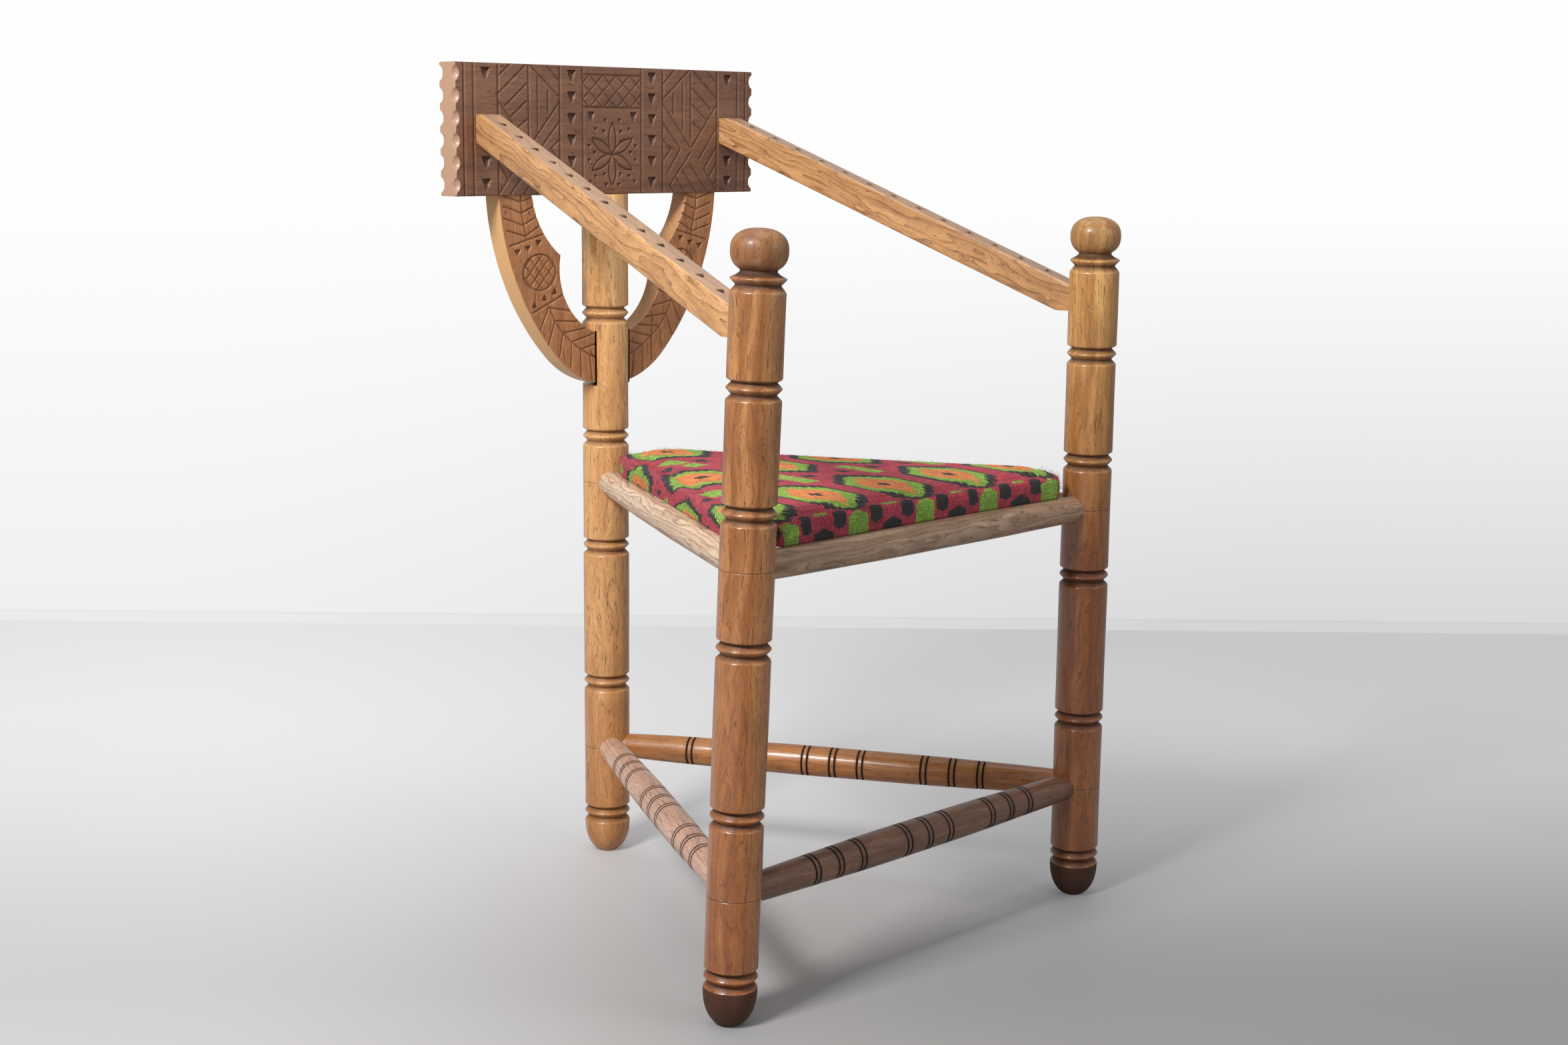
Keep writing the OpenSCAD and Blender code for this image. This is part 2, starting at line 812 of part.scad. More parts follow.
// Triangles between ring a and ring b, and fans that close a surface
function band(a, b) = [
    for (i = [0 : rim_count - 1])
        let (j = (i + 1) % rim_count)
            each [
                [a * rim_count + i, b * rim_count + i, b * rim_count + j],
                [a * rim_count + i, b * rim_count + j, a * rim_count + j]
            ]
];
function fan_up(ring, apex) = [
    for (i = [0 : rim_count - 1])
        [ring * rim_count + i, apex, ring * rim_count + (i + 1) % rim_count]
];
function fan_down(ring, apex) = [
    for (i = [0 : rim_count - 1])
        [ring * rim_count + (i + 1) % rim_count, apex, ring * rim_count + i]
];

// Height of the crown at a share of the way from the middle to the upper edge
function crown(share) = crown_h * (1 - pow(share, 2.2));

// The cover's outside: hem edge, underside, bulging side, rolled upper edge, crown
edge_top_z = seat_z + seat_edge_h;
cover_outside = [
    [hem_w, 1, seat_z],
    [hem_edge_r, 1, seat_z],
    [foot_draw, 1, seat_z + hem_edge_r],
    [0, 1, seat_z + seat_edge_h / 2],
    [top_draw, 1, edge_top_z - roll_r],
    [roll_r * 0.36, 1, edge_top_z - roll_r * 0.35],
    [roll_r, 1, edge_top_z],
    [roll_r, 0.75, edge_top_z + crown(0.75)],
    [roll_r, 0.5, edge_top_z + crown(0.5)],
    [roll_r, 0.25, edge_top_z + crown(0.25)]
];

// The cover's inside follows the same list at the cloth's thickness
lining_top_z = edge_top_z - cover_t;
cover_inside = [
    [roll_r + cover_t, 0.5, lining_top_z + crown(0.5)],
    [roll_r + cover_t, 1, lining_top_z],
    [roll_r * 0.5 + cover_t, 1, lining_top_z - roll_r * 0.35],
    [cover_t + top_draw + foot_draw, 1, lining_top_z - roll_r],
    [cover_t + foot_draw, 1, seat_z + cover_t],
    [hem_w, 1, seat_z + cover_t]
];

function rings_of(list) = [for (r = list) each rim_ring(r[0], r[1], r[2])];

module seat_cover() {
    outside = len(cover_outside);
    inside = len(cover_inside);
    total = (outside + inside) * rim_count;
    points = concat(
        rings_of(cover_outside),
        rings_of(cover_inside),
        [concat(seat_mid, [edge_top_z + crown_h])],
        [concat(seat_mid, [lining_top_z + crown_h])]
    );
    faces = concat(
        [for (k = [0 : outside - 2]) each band(k, k + 1)],
        fan_up(outside - 1, total),
        fan_down(outside, total + 1),
        [for (k = [outside : outside + inside - 2]) each band(k, k + 1)],
        band(outside + inside - 1, 0)
    );
    color("crimson")
        polyhedron(points, faces, convexity = 4);
}

// The padding fills the cover above the board
board_low_z = seat_z + cover_t;
board_up_z = board_low_z + seat_board_t;
board_inset = cover_t + foot_draw + board_play + rest_gap;
pad_outside = [
    [board_inset, 1, board_up_z],
    [cover_t + top_draw + foot_draw + rest_gap, 1, lining_top_z - roll_r - rest_gap],
    [roll_r * 0.5 + cover_t + rest_gap, 1, lining_top_z - roll_r * 0.35 - rest_gap],
    [roll_r + cover_t + rest_gap, 1, lining_top_z - rest_gap],
    [roll_r + cover_t, 0.5, lining_top_z - rest_gap + crown(0.5)]
];

module seat_padding() {
    count = len(pad_outside);
    total = count * rim_count;
    points = concat(
        rings_of(pad_outside),
        [concat(seat_mid, [lining_top_z - rest_gap + crown_h])],
        [concat(seat_mid, [board_up_z])]
    );
    faces = concat(
        [for (k = [0 : count - 2]) each band(k, k + 1)],
        fan_up(count - 1, total),
        fan_down(0, total + 1)
    );
    color("ivory")
        polyhedron(points, faces, convexity = 2);
}

module seat_board() {
    color("wheat")
        translate([0, 0, board_low_z])
            linear_extrude(seat_board_t)
                polygon([for (p = seat_rim) [p[0] - p[2] * board_inset, p[1] - p[3] * board_inset]]);
}

// Places along the long side that starts at tip i: its start, its direction, its way in
function side_frame(i) =
    let (
        p = seat_corners[2 * i + 1],
        q = seat_corners[(2 * i + 2) % 6],
        run = unit(q - p)
    )
    [(p + q) / 2, run, [-run[1], run[0]], norm(q - p)];

module tack() {
    translate([0, 0, -tack_head_t])
        cylinder(h = tack_head_t, d1 = tack_head_d * 0.6, d2 = tack_head_d);
    cylinder(h = tack_shank_l, d = tack_shank_d, $fn = 16);
}

module cover_tacks() {
    color("dimgray")
        for (i = [0 : 2]) {
            f = side_frame(i);
            pitch = f[3] / tack_count;
            for (k = [0 : tack_count - 1]) {
                at = f[0] + f[1] * (k - (tack_count - 1) / 2) * pitch + f[2] * (tack_inset + side_draw);
                translate([at[0], at[1], seat_z])
                    tack();
            }
        }
}

// A cleat lies just inside its rail, under the board
cleat_inset = rail_mid_d / 2 + cleat_gap;

module seat_cleats() {
    color("wheat")
        difference() {
            for (i = [0 : 2])
                cleat_frame(i)
                    translate([-cleat_length(i) / 2, cleat_inset, -cleat_h])
                        cube([cleat_length(i), cleat_w, cleat_h]);
            each_cleat_screw()
                cleat_screw(glue_gap);
        }
}
function cleat_length(i) = side_frame(i)[3] * cleat_share;

// Places its children at the middle of long side i, X along it and Y into the seat
module cleat_frame(i) {
    f = side_frame(i);
    translate([f[0][0], f[0][1], board_low_z])
        rotate([0, 0, atan2(f[1][1], f[1][0])])
            children();
}

module each_cleat_screw() {
    for (i = [0 : 2], end = [-1, 1])
        cleat_frame(i)
            translate([end * cleat_length(i) * 0.35, cleat_inset + cleat_w / 2, -cleat_h])
                children();
}

// A countersunk screw, flush with the underside of its cleat
module cleat_screw(gap) {
    head_h = cleat_screw_d * 0.6;
    cylinder(h = cleat_screw_l + gap, d = cleat_screw_d + 2 * gap, $fn = 24);
    cylinder(h = head_h, d1 = 2 * cleat_screw_d + 2 * gap, d2 = cleat_screw_d + 2 * gap, $fn = 24);
}

module cleat_screws() {
    color("silver")
        each_cleat_screw()
            cleat_screw(0);
}

module left_front_post() front_post(-1);
module right_front_post() front_post(1);
module left_arm() arm(-1);
module right_arm() arm(1);
module front_seat_rail() seat_rail(front_bar(rail_z), back_axis(rail_z));
module left_seat_rail() seat_rail(side_bar(-1, rail_z), front_axis(1, rail_z));
module right_seat_rail() seat_rail(side_bar(1, rail_z), front_axis(-1, rail_z));
module front_stretcher() stretcher(front_bar(stretcher_z), back_axis(stretcher_z));
module left_stretcher() stretcher(side_bar(-1, stretcher_z), front_axis(1, stretcher_z));
module right_stretcher() stretcher(side_bar(1, stretcher_z), front_axis(-1, stretcher_z));

back_post();
left_front_post();
right_front_post();
back_board();
horseshoe_brace();
brace_peg();
left_arm();
right_arm();
arm_dowels();
front_seat_rail();
left_seat_rail();
right_seat_rail();
front_stretcher();
left_stretcher();
right_stretcher();
seat_board();
seat_padding();
seat_cover();
cover_tacks();
seat_cleats();
cleat_screws();
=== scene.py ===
"""Looks of a three-post turned oak armchair with a carved back board and a loose wool seat.

Shapes are worked out in millimetres in the chair's own frame: +Z up, the front faces -Y, the
origin on the floor under the middle. to_mesh() turns them to metres.
"""

import bpy
import numpy as np
from mathutils import Matrix, Vector


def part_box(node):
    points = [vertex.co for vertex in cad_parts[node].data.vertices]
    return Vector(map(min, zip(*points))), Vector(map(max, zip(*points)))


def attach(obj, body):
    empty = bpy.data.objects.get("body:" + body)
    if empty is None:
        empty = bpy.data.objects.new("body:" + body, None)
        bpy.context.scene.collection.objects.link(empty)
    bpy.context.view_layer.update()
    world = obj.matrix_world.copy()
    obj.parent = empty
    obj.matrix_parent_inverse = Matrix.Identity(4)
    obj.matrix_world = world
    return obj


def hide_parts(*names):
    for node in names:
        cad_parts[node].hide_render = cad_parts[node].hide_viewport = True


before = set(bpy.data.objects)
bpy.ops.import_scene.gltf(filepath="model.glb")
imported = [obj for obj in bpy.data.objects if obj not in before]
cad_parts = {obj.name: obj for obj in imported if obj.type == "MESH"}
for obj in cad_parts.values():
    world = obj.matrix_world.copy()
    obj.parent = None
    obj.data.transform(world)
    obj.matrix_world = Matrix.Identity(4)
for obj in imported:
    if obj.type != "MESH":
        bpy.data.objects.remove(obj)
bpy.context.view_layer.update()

MM = 0.001

# Main sizes of the chair, as in the construction
CHAIR_DEPTH = 461
POST_R = 25
HALF_SPREAD = 258
LEAN_IN = np.radians(1.4)
LEAN_FORWARD = np.radians(1.3)
RING_HEIGHTS = [46, 197, 351, 472.5]
BACK_RING_Z = 607
FRONT_RING_Z = 582.5
FLANGE_Z = 677.5
BALL_D = 51
BALL_TOP_H = 19.6
BALL_RISE = 24
NECK_D = 33
BOARD_L = 420
BOARD_H = 134
BOARD_T = 25
BOARD_Z = 735
BOARD_FRONT = 13.5
BRACE_T = 23
ARM_H = 31
ARM_W = 25
ARM_BACK_X = 171
ARM_BACK_Z = 804.5
ARM_FRONT_Z = 627
RAIL_Z = 422
RAIL_D = 30
RAIL_END_D = 26.5
STRETCHER_Z = 122
STRETCHER_D = 33
STRETCHER_END_D = 26
# A height above the whole chair, for the direction of a post's axis
ABOVE_ALL = 1000

# The ground plan, from the board's place in the frame
BOARD_FRONT_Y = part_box("back_board")[0][1] / MM
BACK_Y = BOARD_FRONT_Y + BOARD_FRONT
FRONT_Y = BACK_Y - CHAIR_DEPTH
BRACE_FRONT_Y = BACK_Y - BRACE_T / 2


def unit(v):
    """A vector, or each row of an array of vectors, at length 1."""
    v = np.asarray(v, float)
    return v / np.linalg.norm(v, axis=-1, keepdims=True)


def front_axis(side, z):
    """Point at height z on the leaning axis of a front post, side -1 left or 1 right."""
    return np.array([side * (HALF_SPREAD - z * np.tan(LEAN_IN)), FRONT_Y - z * np.tan(LEAN_FORWARD), z])


def back_axis(z):
    """Point at height z on the upright axis of the back post."""
    return np.array([0, BACK_Y, z])


def smoothstep(x):
    """0 below 0, 1 above 1, and 3x^2 - 2x^3 between."""
    x = np.clip(x, 0, 1)
    return x * x * (3 - 2 * x)


def crossing(a, b):
    """The direction from a to b, and two unit vectors square to it: side, which is level, and
    other = direction x side, which faces up."""
    axis = unit(b - a)
    side = np.array([-axis[1], axis[0], 0.0])
    if np.linalg.norm(side) < 0.2:
        # Beside an upright line, the part of +X that is square to it
        side = np.array([1.0, 0, 0]) - axis * axis[0]
    side = unit(side)
    return axis, side, np.cross(axis, side)


def to_mesh(name, points, faces, caps=(), smooth_angle=30):
    """A mesh from points in millimetres, an array of faces and a few n-gon caps. If its volume
    comes out negative, all faces are turned, so that they point outwards."""
    faces = np.asarray(faces)
    a, b, c = points[faces[:, 0]], points[faces[:, 1]], points[faces[:, 2]]
    volume = np.einsum("ij,ij->i", a, np.cross(b, c)).sum()
    if faces.shape[1] == 4:
        volume += np.einsum("ij,ij->i", a, np.cross(c, points[faces[:, 3]])).sum()
    for cap in caps:
        fan = points[np.asarray(cap)]
        volume += np.einsum("j,ij->i", fan[0], np.cross(fan[1:-1], fan[2:])).sum()
    if volume < 0:
        faces = faces[:, ::-1]
        caps = [cap[::-1] for cap in caps]
    corners = np.concatenate([faces.ravel(), *[np.asarray(cap) for cap in caps]]).astype(np.int32)
    sizes = np.concatenate([np.full(len(faces), faces.shape[1]), [len(cap) for cap in caps]])
    starts = (np.cumsum(sizes) - sizes).astype(np.int32)
    mesh = bpy.data.meshes.new(name)
    mesh.vertices.add(len(points))
    mesh.vertices.foreach_set("co", (points * MM).astype(np.float32).ravel())
    mesh.loops.add(len(corners))
    mesh.loops.foreach_set("vertex_index", corners)
    mesh.polygons.add(len(starts))
    mesh.polygons.foreach_set("loop_start", starts)
    smooth = np.ones(len(starts), bool)
    smooth[len(faces):] = False
    mesh.polygons.foreach_set("use_smooth", smooth)
    mesh.update(calc_edges=True)
    mesh.set_sharp_from_angle(angle=np.radians(smooth_angle))
    return mesh


def mark(mesh, name, values):
    """Stores one number or one vector for each point of a mesh."""
    kind, field = ("FLOAT_VECTOR", "vector") if values.ndim == 2 else ("FLOAT", "value")
    attribute = mesh.attributes.new(name, kind, "POINT")
    attribute.data.foreach_set(field, values.astype(np.float32).ravel())


def piece(name, mesh, body, material, slot, *stands_for):
    """Puts a finished mesh into the scene on its body, in place of its CAD nodes."""
    shown = bpy.data.objects.new(name, mesh)
    bpy.context.scene.collection.objects.link(shown)
    mesh.materials.append(material)
    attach(shown, body)
    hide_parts(*stands_for)
    return shown


def split_quads(a, b, c, d, depth):
    """Two triangles for each quad of point numbers. It is split along the diagonal whose two
    ends lie at the most alike depth, so that carved lines stay straight."""
    level = (np.abs(depth[a] - depth[c]) <= np.abs(depth[b] - depth[d]))[..., None]
    first = np.where(level, np.stack([a, b, c], -1), np.stack([a, b, d], -1))
    second = np.where(level, np.stack([a, c, d], -1), np.stack([b, c, d], -1))
    return np.concatenate([first.reshape(-1, 3), second.reshape(-1, 3)])


def tube_faces(rows, around, depth=None):
    """Faces over a closed tube of rows x around points: quads, or triangles on carved work."""
    i, j = np.meshgrid(np.arange(rows - 1), np.arange(around), indexing="ij")
    k = (j + 1) % around
    corners = i * around + j, i * around + k, (i + 1) * around + k, (i + 1) * around + j
    if depth is None:
        return np.stack(corners, -1).reshape(-1, 4)
    return split_quads(*corners, depth.ravel())


def tube_caps(rows, around):
    """The n-gons that close both ends of a tube."""
    first = np.arange(around)[::-1]
    return [first, np.arange(around) + (rows - 1) * around]


# Turned pieces. A ring's sizes count from the middle of its sharp edge
POST_AROUND = 96
BAR_AROUND = 80
POST_WOBBLE = 0.12
BAR_WOBBLE = 0.1
WOBBLE_SHORT = 23
WOBBLE_LONG = 61
EDGE_SOFT = 0.9
EDGE_HALF = 0.6
GROOVE_DEPTH = 5
GROOVE_AT = 5.6
RING_BELOW = 10.4
RING_ABOVE = 8.4
FLANGE_BELOW = 11.6
FOOT_TOP = RING_HEIGHTS[0] - RING_BELOW
# The turner's scribed lines, at the heights of the bars
LAYOUT_LINES = [STRETCHER_Z, RAIL_Z]
LINE_HALF = 0.7
LINE_DEPTH = 0.45
FOOT_DARK = 0.95
BALL_DARK = 0.38


def ring_profile(z):
    """[radius, height] points of one ring: a V groove, a sharp edge, a V groove."""
    return [
        [POST_R, z - RING_BELOW], [POST_R - GROOVE_DEPTH, z - GROOVE_AT], [POST_R, z - EDGE_HALF],
        [POST_R, z + EDGE_HALF], [POST_R - GROOVE_DEPTH, z + GROOVE_AT], [POST_R, z + RING_ABOVE],
    ]


def foot_profile(steps=14, tip_r=10, power=2.3):
    """A bullet foot: a superellipse quarter from the worn flat up to the full radius."""
    start = 1 - (1 - (tip_r / POST_R) ** power) ** (1 / power)
    tip = start / (1 - start) * FOOT_TOP
    z = FOOT_TOP * (np.arange(steps) / steps) ** 1.6
    share = (z + tip) / (FOOT_TOP + tip)
    return np.stack([POST_R * (1 - (1 - share) ** power) ** (1 / power), z], -1).tolist()


def finial_profile(steps=36, power=2.4, end_angle=87):
    """Flange, neck and a flattened superellipse ball that ends in a small flat."""
    ball_z = FLANGE_Z + BALL_RISE
    low = np.arcsin((1 - (NECK_D / BALL_D) ** power) ** 0.5)
    a = np.linspace(-low, np.radians(end_angle), steps)
    ball = np.stack([
        BALL_D / 2 * np.cos(a) ** (2 / power),
        ball_z + np.sign(a) * BALL_TOP_H * np.abs(np.sin(a)) ** (2 / power),
    ], -1)
    neck_r = NECK_D / 2
    return [
        [POST_R, FLANGE_Z - FLANGE_BELOW], [POST_R - GROOVE_DEPTH, FLANGE_Z - GROOVE_AT],
        [POST_R, FLANGE_Z - EDGE_HALF], [POST_R, FLANGE_Z + EDGE_HALF],
        [neck_r + (POST_R - neck_r) * 0.35, FLANGE_Z + 3.2], [neck_r, FLANGE_Z + GROOVE_AT],
    ] + ball.tolist()


def softened(profile, longest=9.0):
    """The profile with each corner cut back by at most EDGE_SOFT and rounded by a quadratic bow,
    and with its long straight stretches divided."""
    p = np.asarray(profile, float)
    corner = p[1:-1]
    ends = []
    for way in (p[:-2] - corner, p[2:] - corner):
        reach = np.minimum(EDGE_SOFT, 0.4 * np.linalg.norm(way, axis=1))[:, None]
        ends.append(corner + unit(way) * reach)
    a, b = ends
    bows = [(1 - s) ** 2 * a + 2 * s * (1 - s) * corner + s ** 2 * b for s in (0, 1 / 3, 2 / 3, 1)]
    line = np.concatenate([p[:1], np.stack(bows, 1).reshape(-1, 2), p[-1:]])
    gaps = np.linalg.norm(np.diff(line, axis=0), axis=1)
    counts = np.maximum(1, np.ceil(gaps / longest).astype(int))
    start = np.repeat(np.arange(len(gaps)), counts)
    step = np.concatenate([np.arange(n) / n for n in counts])[:, None]
    dense = line[start] * (1 - step) + line[start + 1] * step
    return np.concatenate([dense, line[-1:]])


def turned(profile, start, end, around, seed, wobble):
    """Points of a turned piece: start + h * axis + r * (cos a * side + sin a * other), with a
    slow hand-turned wobble on r, the sum of two sine waves along h. Also gives each point's place
    in the piece itself."""
    axis, side, other = crossing(start, end)
    rng = np.random.default_rng(seed)
    r, h = profile[:, :1], profile[:, 1:]
    phase = rng.uniform(0, 2 * np.pi, 2)
    r = r + wobble * (np.sin(h / WOBBLE_SHORT + phase[0]) + np.sin(h / WOBBLE_LONG + phase[1]))
    a = np.linspace(0, 2 * np.pi, around, endpoint=False)[None, :]
    x, y = r * np.cos(a), r * np.sin(a)
    h = np.broadcast_to(h, x.shape)
    points = start + x[..., None] * side + y[..., None] * other + h[..., None] * axis
    return points, np.stack([x, y, h], -1)


def finish_turned(node_name, points, own, hollow, material, slot, seed):
    """Closes the rings into a mesh, stores grain and hollows, and adds the piece. The tree's pith
    lies 28 to 60 mm beside the piece, both ways."""
    rows, around = points.shape[:2]
    name = "turned_" + node_name
    mesh = to_mesh(name, points.reshape(-1, 3), tube_faces(rows, around), tube_caps(rows, around))
    rng = np.random.default_rng(seed)
    shift = np.array([*rng.uniform(28, 60, 2), rng.uniform(0, 4000)])
    mark(mesh, "grain", own.reshape(-1, 3) + shift)
    mark(mesh, "hollow", np.broadcast_to(hollow, (rows, around)).ravel())
    piece(name, mesh, "frame", material, slot, node_name)


def post_hollow(profile, foot=0.0, ball=0.0):
    """How deep a point of a post lies below the plain section, from 0 to 1, on the rings and the
    scribed lines, and an even value on foot and ball, dark from floors and hands."""
    r, z = profile[:, :1], profile[:, 1:]
    on_foot = z <= FOOT_TOP - 0.2
    on_head = z > FLANGE_Z + 8
    on_rings = np.clip((POST_R - r) / GROOVE_DEPTH, 0, 1) * ~(on_foot | on_head)
    from_line = np.min(np.abs(z - np.array(LAYOUT_LINES)), axis=1, keepdims=True)
    at_tips = foot * on_foot + ball * (on_head & (z < BOARD_Z - 2))
    return np.maximum.reduce([on_rings, 0.8 * (from_line < 0.5), at_tips])


def with_lines(profile):
    """The monotonic part of a profile with the scribed lines cut in as fine V grooves."""
    z = profile[:, 1]
    near = LINE_HALF * np.arange(-2, 3)
    clear = 2 * LINE_HALF + 0.1
    cut = np.clip(1 - np.abs(near) / LINE_HALF, 0, 1) * LINE_DEPTH
    pieces = []
    last = 0
    for height in LAYOUT_LINES:
        at = int(np.searchsorted(z, height))
        keep = z[last:at] < height - clear
        pieces.append(profile[last:at][keep])
        r = np.interp(height, z, profile[:, 0])
        pieces.append(np.stack([r - cut, height + near], -1))
        last = at + int(np.sum(z[at:at + 4] < height + clear))
    pieces.append(profile[last:])
    return np.concatenate(pieces)


def post_profile(own_ring, top):
    """A post's foot, its four common rings, one ring at a height of its own, and its top."""
    rings = sum((ring_profile(z) for z in RING_HEIGHTS + [own_ring]), [])
    return with_lines(softened(foot_profile() + rings + top))


def front_post(side, name, material, slot):
    """A leaning post with flange and ball, its foot worn level with the floor."""
    profile = post_profile(FRONT_RING_Z, finial_profile())
    start, end = front_axis(side, 0), front_axis(side, ABOVE_ALL)
    points, own = turned(profile, start, end, POST_AROUND, 3 + side, POST_WOBBLE)
    points[..., 2] = np.maximum(points[..., 2], 0)
    hollow = post_hollow(profile, FOOT_DARK, BALL_DARK)
    finish_turned(name, points, own, hollow, material, slot, 5 + side)


def back_post(name, material, slot):
    """The upright post. Its notch for the brace is cut from behind: between the notch's two
    levels every point is held before the brace's front face."""
    profile = post_profile(BACK_RING_Z, [[POST_R, BOARD_Z]])
    z = profile[:, 1]
    low, high = BOW_Z - BOW_R, NOTCH_TOP
    below = profile[z < low - 1]
    inside = profile[(z > low + 1) & (z < high - 1)]
    above = profile[z > high + 1]
    sill, head = np.array([[POST_R, low]]), np.array([[POST_R, high]])
    profile = np.concatenate([below, sill, sill, inside, head, head, above])
    cut = np.concatenate([
        np.zeros(len(below) + 1), np.ones(len(inside) + 2), np.zeros(len(above) + 1),
    ]).astype(bool)
    points, own = turned(profile, back_axis(0), back_axis(ABOVE_ALL), POST_AROUND, 11, POST_WOBBLE)
    points[cut, :, 1] = np.minimum(points[cut, :, 1], BRACE_FRONT_Y)
    finish_turned(name, points, own, post_hollow(profile), material, slot, 12)


def bar_profile(mid_d, end_d, length, entry=7.0, steps=60):
    """A barrel: end radius plus a flat-topped sine bow between the posts' surfaces, and a
    straight stretch of the entry's length inside each post."""
    s = np.linspace(0, 1, steps + 1)
    r = end_d / 2 + (mid_d - end_d) / 2 * np.sin(np.pi * s) ** 0.7
    h = POST_R + (length - 2 * POST_R) * s
    body = np.stack([r, h], -1)
    first, last = [[end_d / 2, POST_R - entry]], [[end_d / 2, length - POST_R + entry]]
    return np.concatenate([first, body, last])


def seat_rail(name, ends, material, slot, seed):
    """A barrel with its top planed level where the seat bears on it."""
    profile = bar_profile(RAIL_D, RAIL_END_D, np.linalg.norm(ends[1] - ends[0]))
    points, own = turned(profile, *ends, BAR_AROUND, seed, BAR_WOBBLE)
    points[..., 2] = np.minimum(points[..., 2], RAIL_Z + RAIL_END_D / 2)
    finish_turned(name, points, own, 0.0, material, slot, seed)


# The stretchers' marks: double lines, three to a group
MARK_PITCH = 31
MARK_HALF_GAP = 3
MARK_HALF_W = 1.0
MARK_DEPTH = 1.3


def stretcher(name, ends, material, slot, seed):
    """A barrel with three groups of three double lines cut round it as V grooves. Dark wax fills
    the lines and the first half millimetre beside them."""
    length = np.linalg.norm(ends[1] - ends[0])
    profile = bar_profile(STRETCHER_D, STRETCHER_END_D, length)
    group, line, half = np.meshgrid([-1, 0, 1], [-1, 0, 1], [-1, 1], indexing="ij")
    marks = length / 2 + group * length / 4 + line * MARK_PITCH + half * MARK_HALF_GAP
    marks = np.sort(marks.ravel())
    extra = (marks[:, None] + np.array([-1.4, -1.0, -0.5, 0, 0.5, 1.0, 1.4])).ravel()
    far = np.min(np.abs(profile[:, 1:] - marks), axis=1) > 1.8
    h = np.sort(np.concatenate([profile[far, 1], extra]))
    gap = np.min(np.abs(h[:, None] - marks), axis=1)
    cut = MARK_DEPTH * np.clip(1 - gap / MARK_HALF_W, 0, 1)
    r = np.interp(h, profile[:, 1], profile[:, 0]) - cut
    points, own = turned(np.stack([r, h], -1), *ends, BAR_AROUND, seed, BAR_WOBBLE)
    waxed = np.clip((MARK_HALF_W + 0.5 - gap) / 0.4, 0, 1)[:, None]
    finish_turned(name, points, own, waxed, material, slot, seed)


# Carving. The wax in a cut is darkest from the depth WAXED_AT on
WAXED_AT = 1.2


def line_depth(x, z, segments, half_width, depth):
    """Depth of V grooves: the full depth on each segment x1, z1, x2, z2, falling evenly to 0 at
    half_width beside it."""
    cut = np.zeros_like(x)
    for x1, z1, x2, z2 in segments:
        dx, dz = x2 - x1, z2 - z1
        s = np.clip(((x - x1) * dx + (z - z1) * dz) / (dx * dx + dz * dz), 0, 1)
        away = np.hypot(x - x1 - s * dx, z - z1 - s * dz)
        cut = np.maximum(cut, depth * np.clip(1 - away / half_width, 0, 1))
    return cut


def chip_depth(across, up, width, height, depth, wall=0.9):
    """Depth of a chip: a triangle that points down, its floor falling from the point on the
    surface to the full depth at the square top edge, with steep walls."""
    s = np.clip(up / height + 0.5, 0, 1)
    side = np.clip((width / 2 * s ** 0.75 - np.abs(across)) / wall, 0, 1)
    top = np.clip((height / 2 - up) / wall, 0, 1)
    return depth * s * side * top


# The board's front, at distances from its middle and heights above its lower edge
UPRIGHTS = (41.5, 73, 155, 186.5, 199)
MIDDLE_HALF = UPRIGHTS[0]
BAND_LOW = 91
BAND_HIGH = 125
CHIP_COLUMNS = (57, ARM_BACK_X)
SCOOPS = 6
SCOOP_LEVELS = [(i + 0.5) * BOARD_H / SCOOPS for i in range(SCOOPS)]
LATTICE_PITCH = 19
ROSETTE_H = 42
PETAL_L = 33
PETAL_W = 10


def board_carving(x, h):
    """Depth of the carving on the board's front at x from its middle and h above its lower edge:
    upright lines, the band's two edges, slanting lines in the panels, and columns of chips."""
    x = np.abs(x)
    uprights = [(at, -9, at, BOARD_H + 9) for at in UPRIGHTS]
    band = [(0, level, MIDDLE_HALF, level) for level in (BAND_LOW, BAND_HIGH)]
    hatch = [
        (73, 117, 92, 134), (73, 101, 114, 134), (73.5, 96, 114, 50), (89, 85, 89, 107),
        (102.7, 68, 102.7, 120), (115, 59, 115, 134), (117, 134, 154, 104), (138, 134, 153, 122),
        (117, 114, 146, 91), (118, 96, 138.6, 80), (118, 77, 130, 69), (155, 97, 117, 50),
        (73.5, 76, 99.6, 48), (99.6, 48, 80, 22), (74, 57, 85.3, 48), (85.3, 48, 75, 36.5),
        (115, 44, 84, 9), (154, 71, 128, 37), (155, 51, 136.5, 27.5), (155, 33, 143, 17),
        (155, 13.6, 150, 8.5), (135.5, 26, 155, 1), (114, 31, 141, 0), (102.7, 25, 123, 0),
        (93.5, 16, 106, 0), (84, 9, 90, 0),
    ]
    cuts = [
        line_depth(x, h, uprights, half_width=1.7, depth=1.2),
        line_depth(x, h, band, half_width=1.5, depth=1.1),
        line_depth(x, h, hatch, half_width=1.6, depth=1.1),
    ]
    for column in CHIP_COLUMNS:
        for level in SCOOP_LEVELS:
            under_arm = column == ARM_BACK_X and abs(BOARD_Z + level - ARM_BACK_Z) < ARM_H + 1
            if not under_arm:
                cuts.append(chip_depth(x - column, h - level, width=12, height=13.5, depth=4))
    return np.maximum.reduce(cuts)


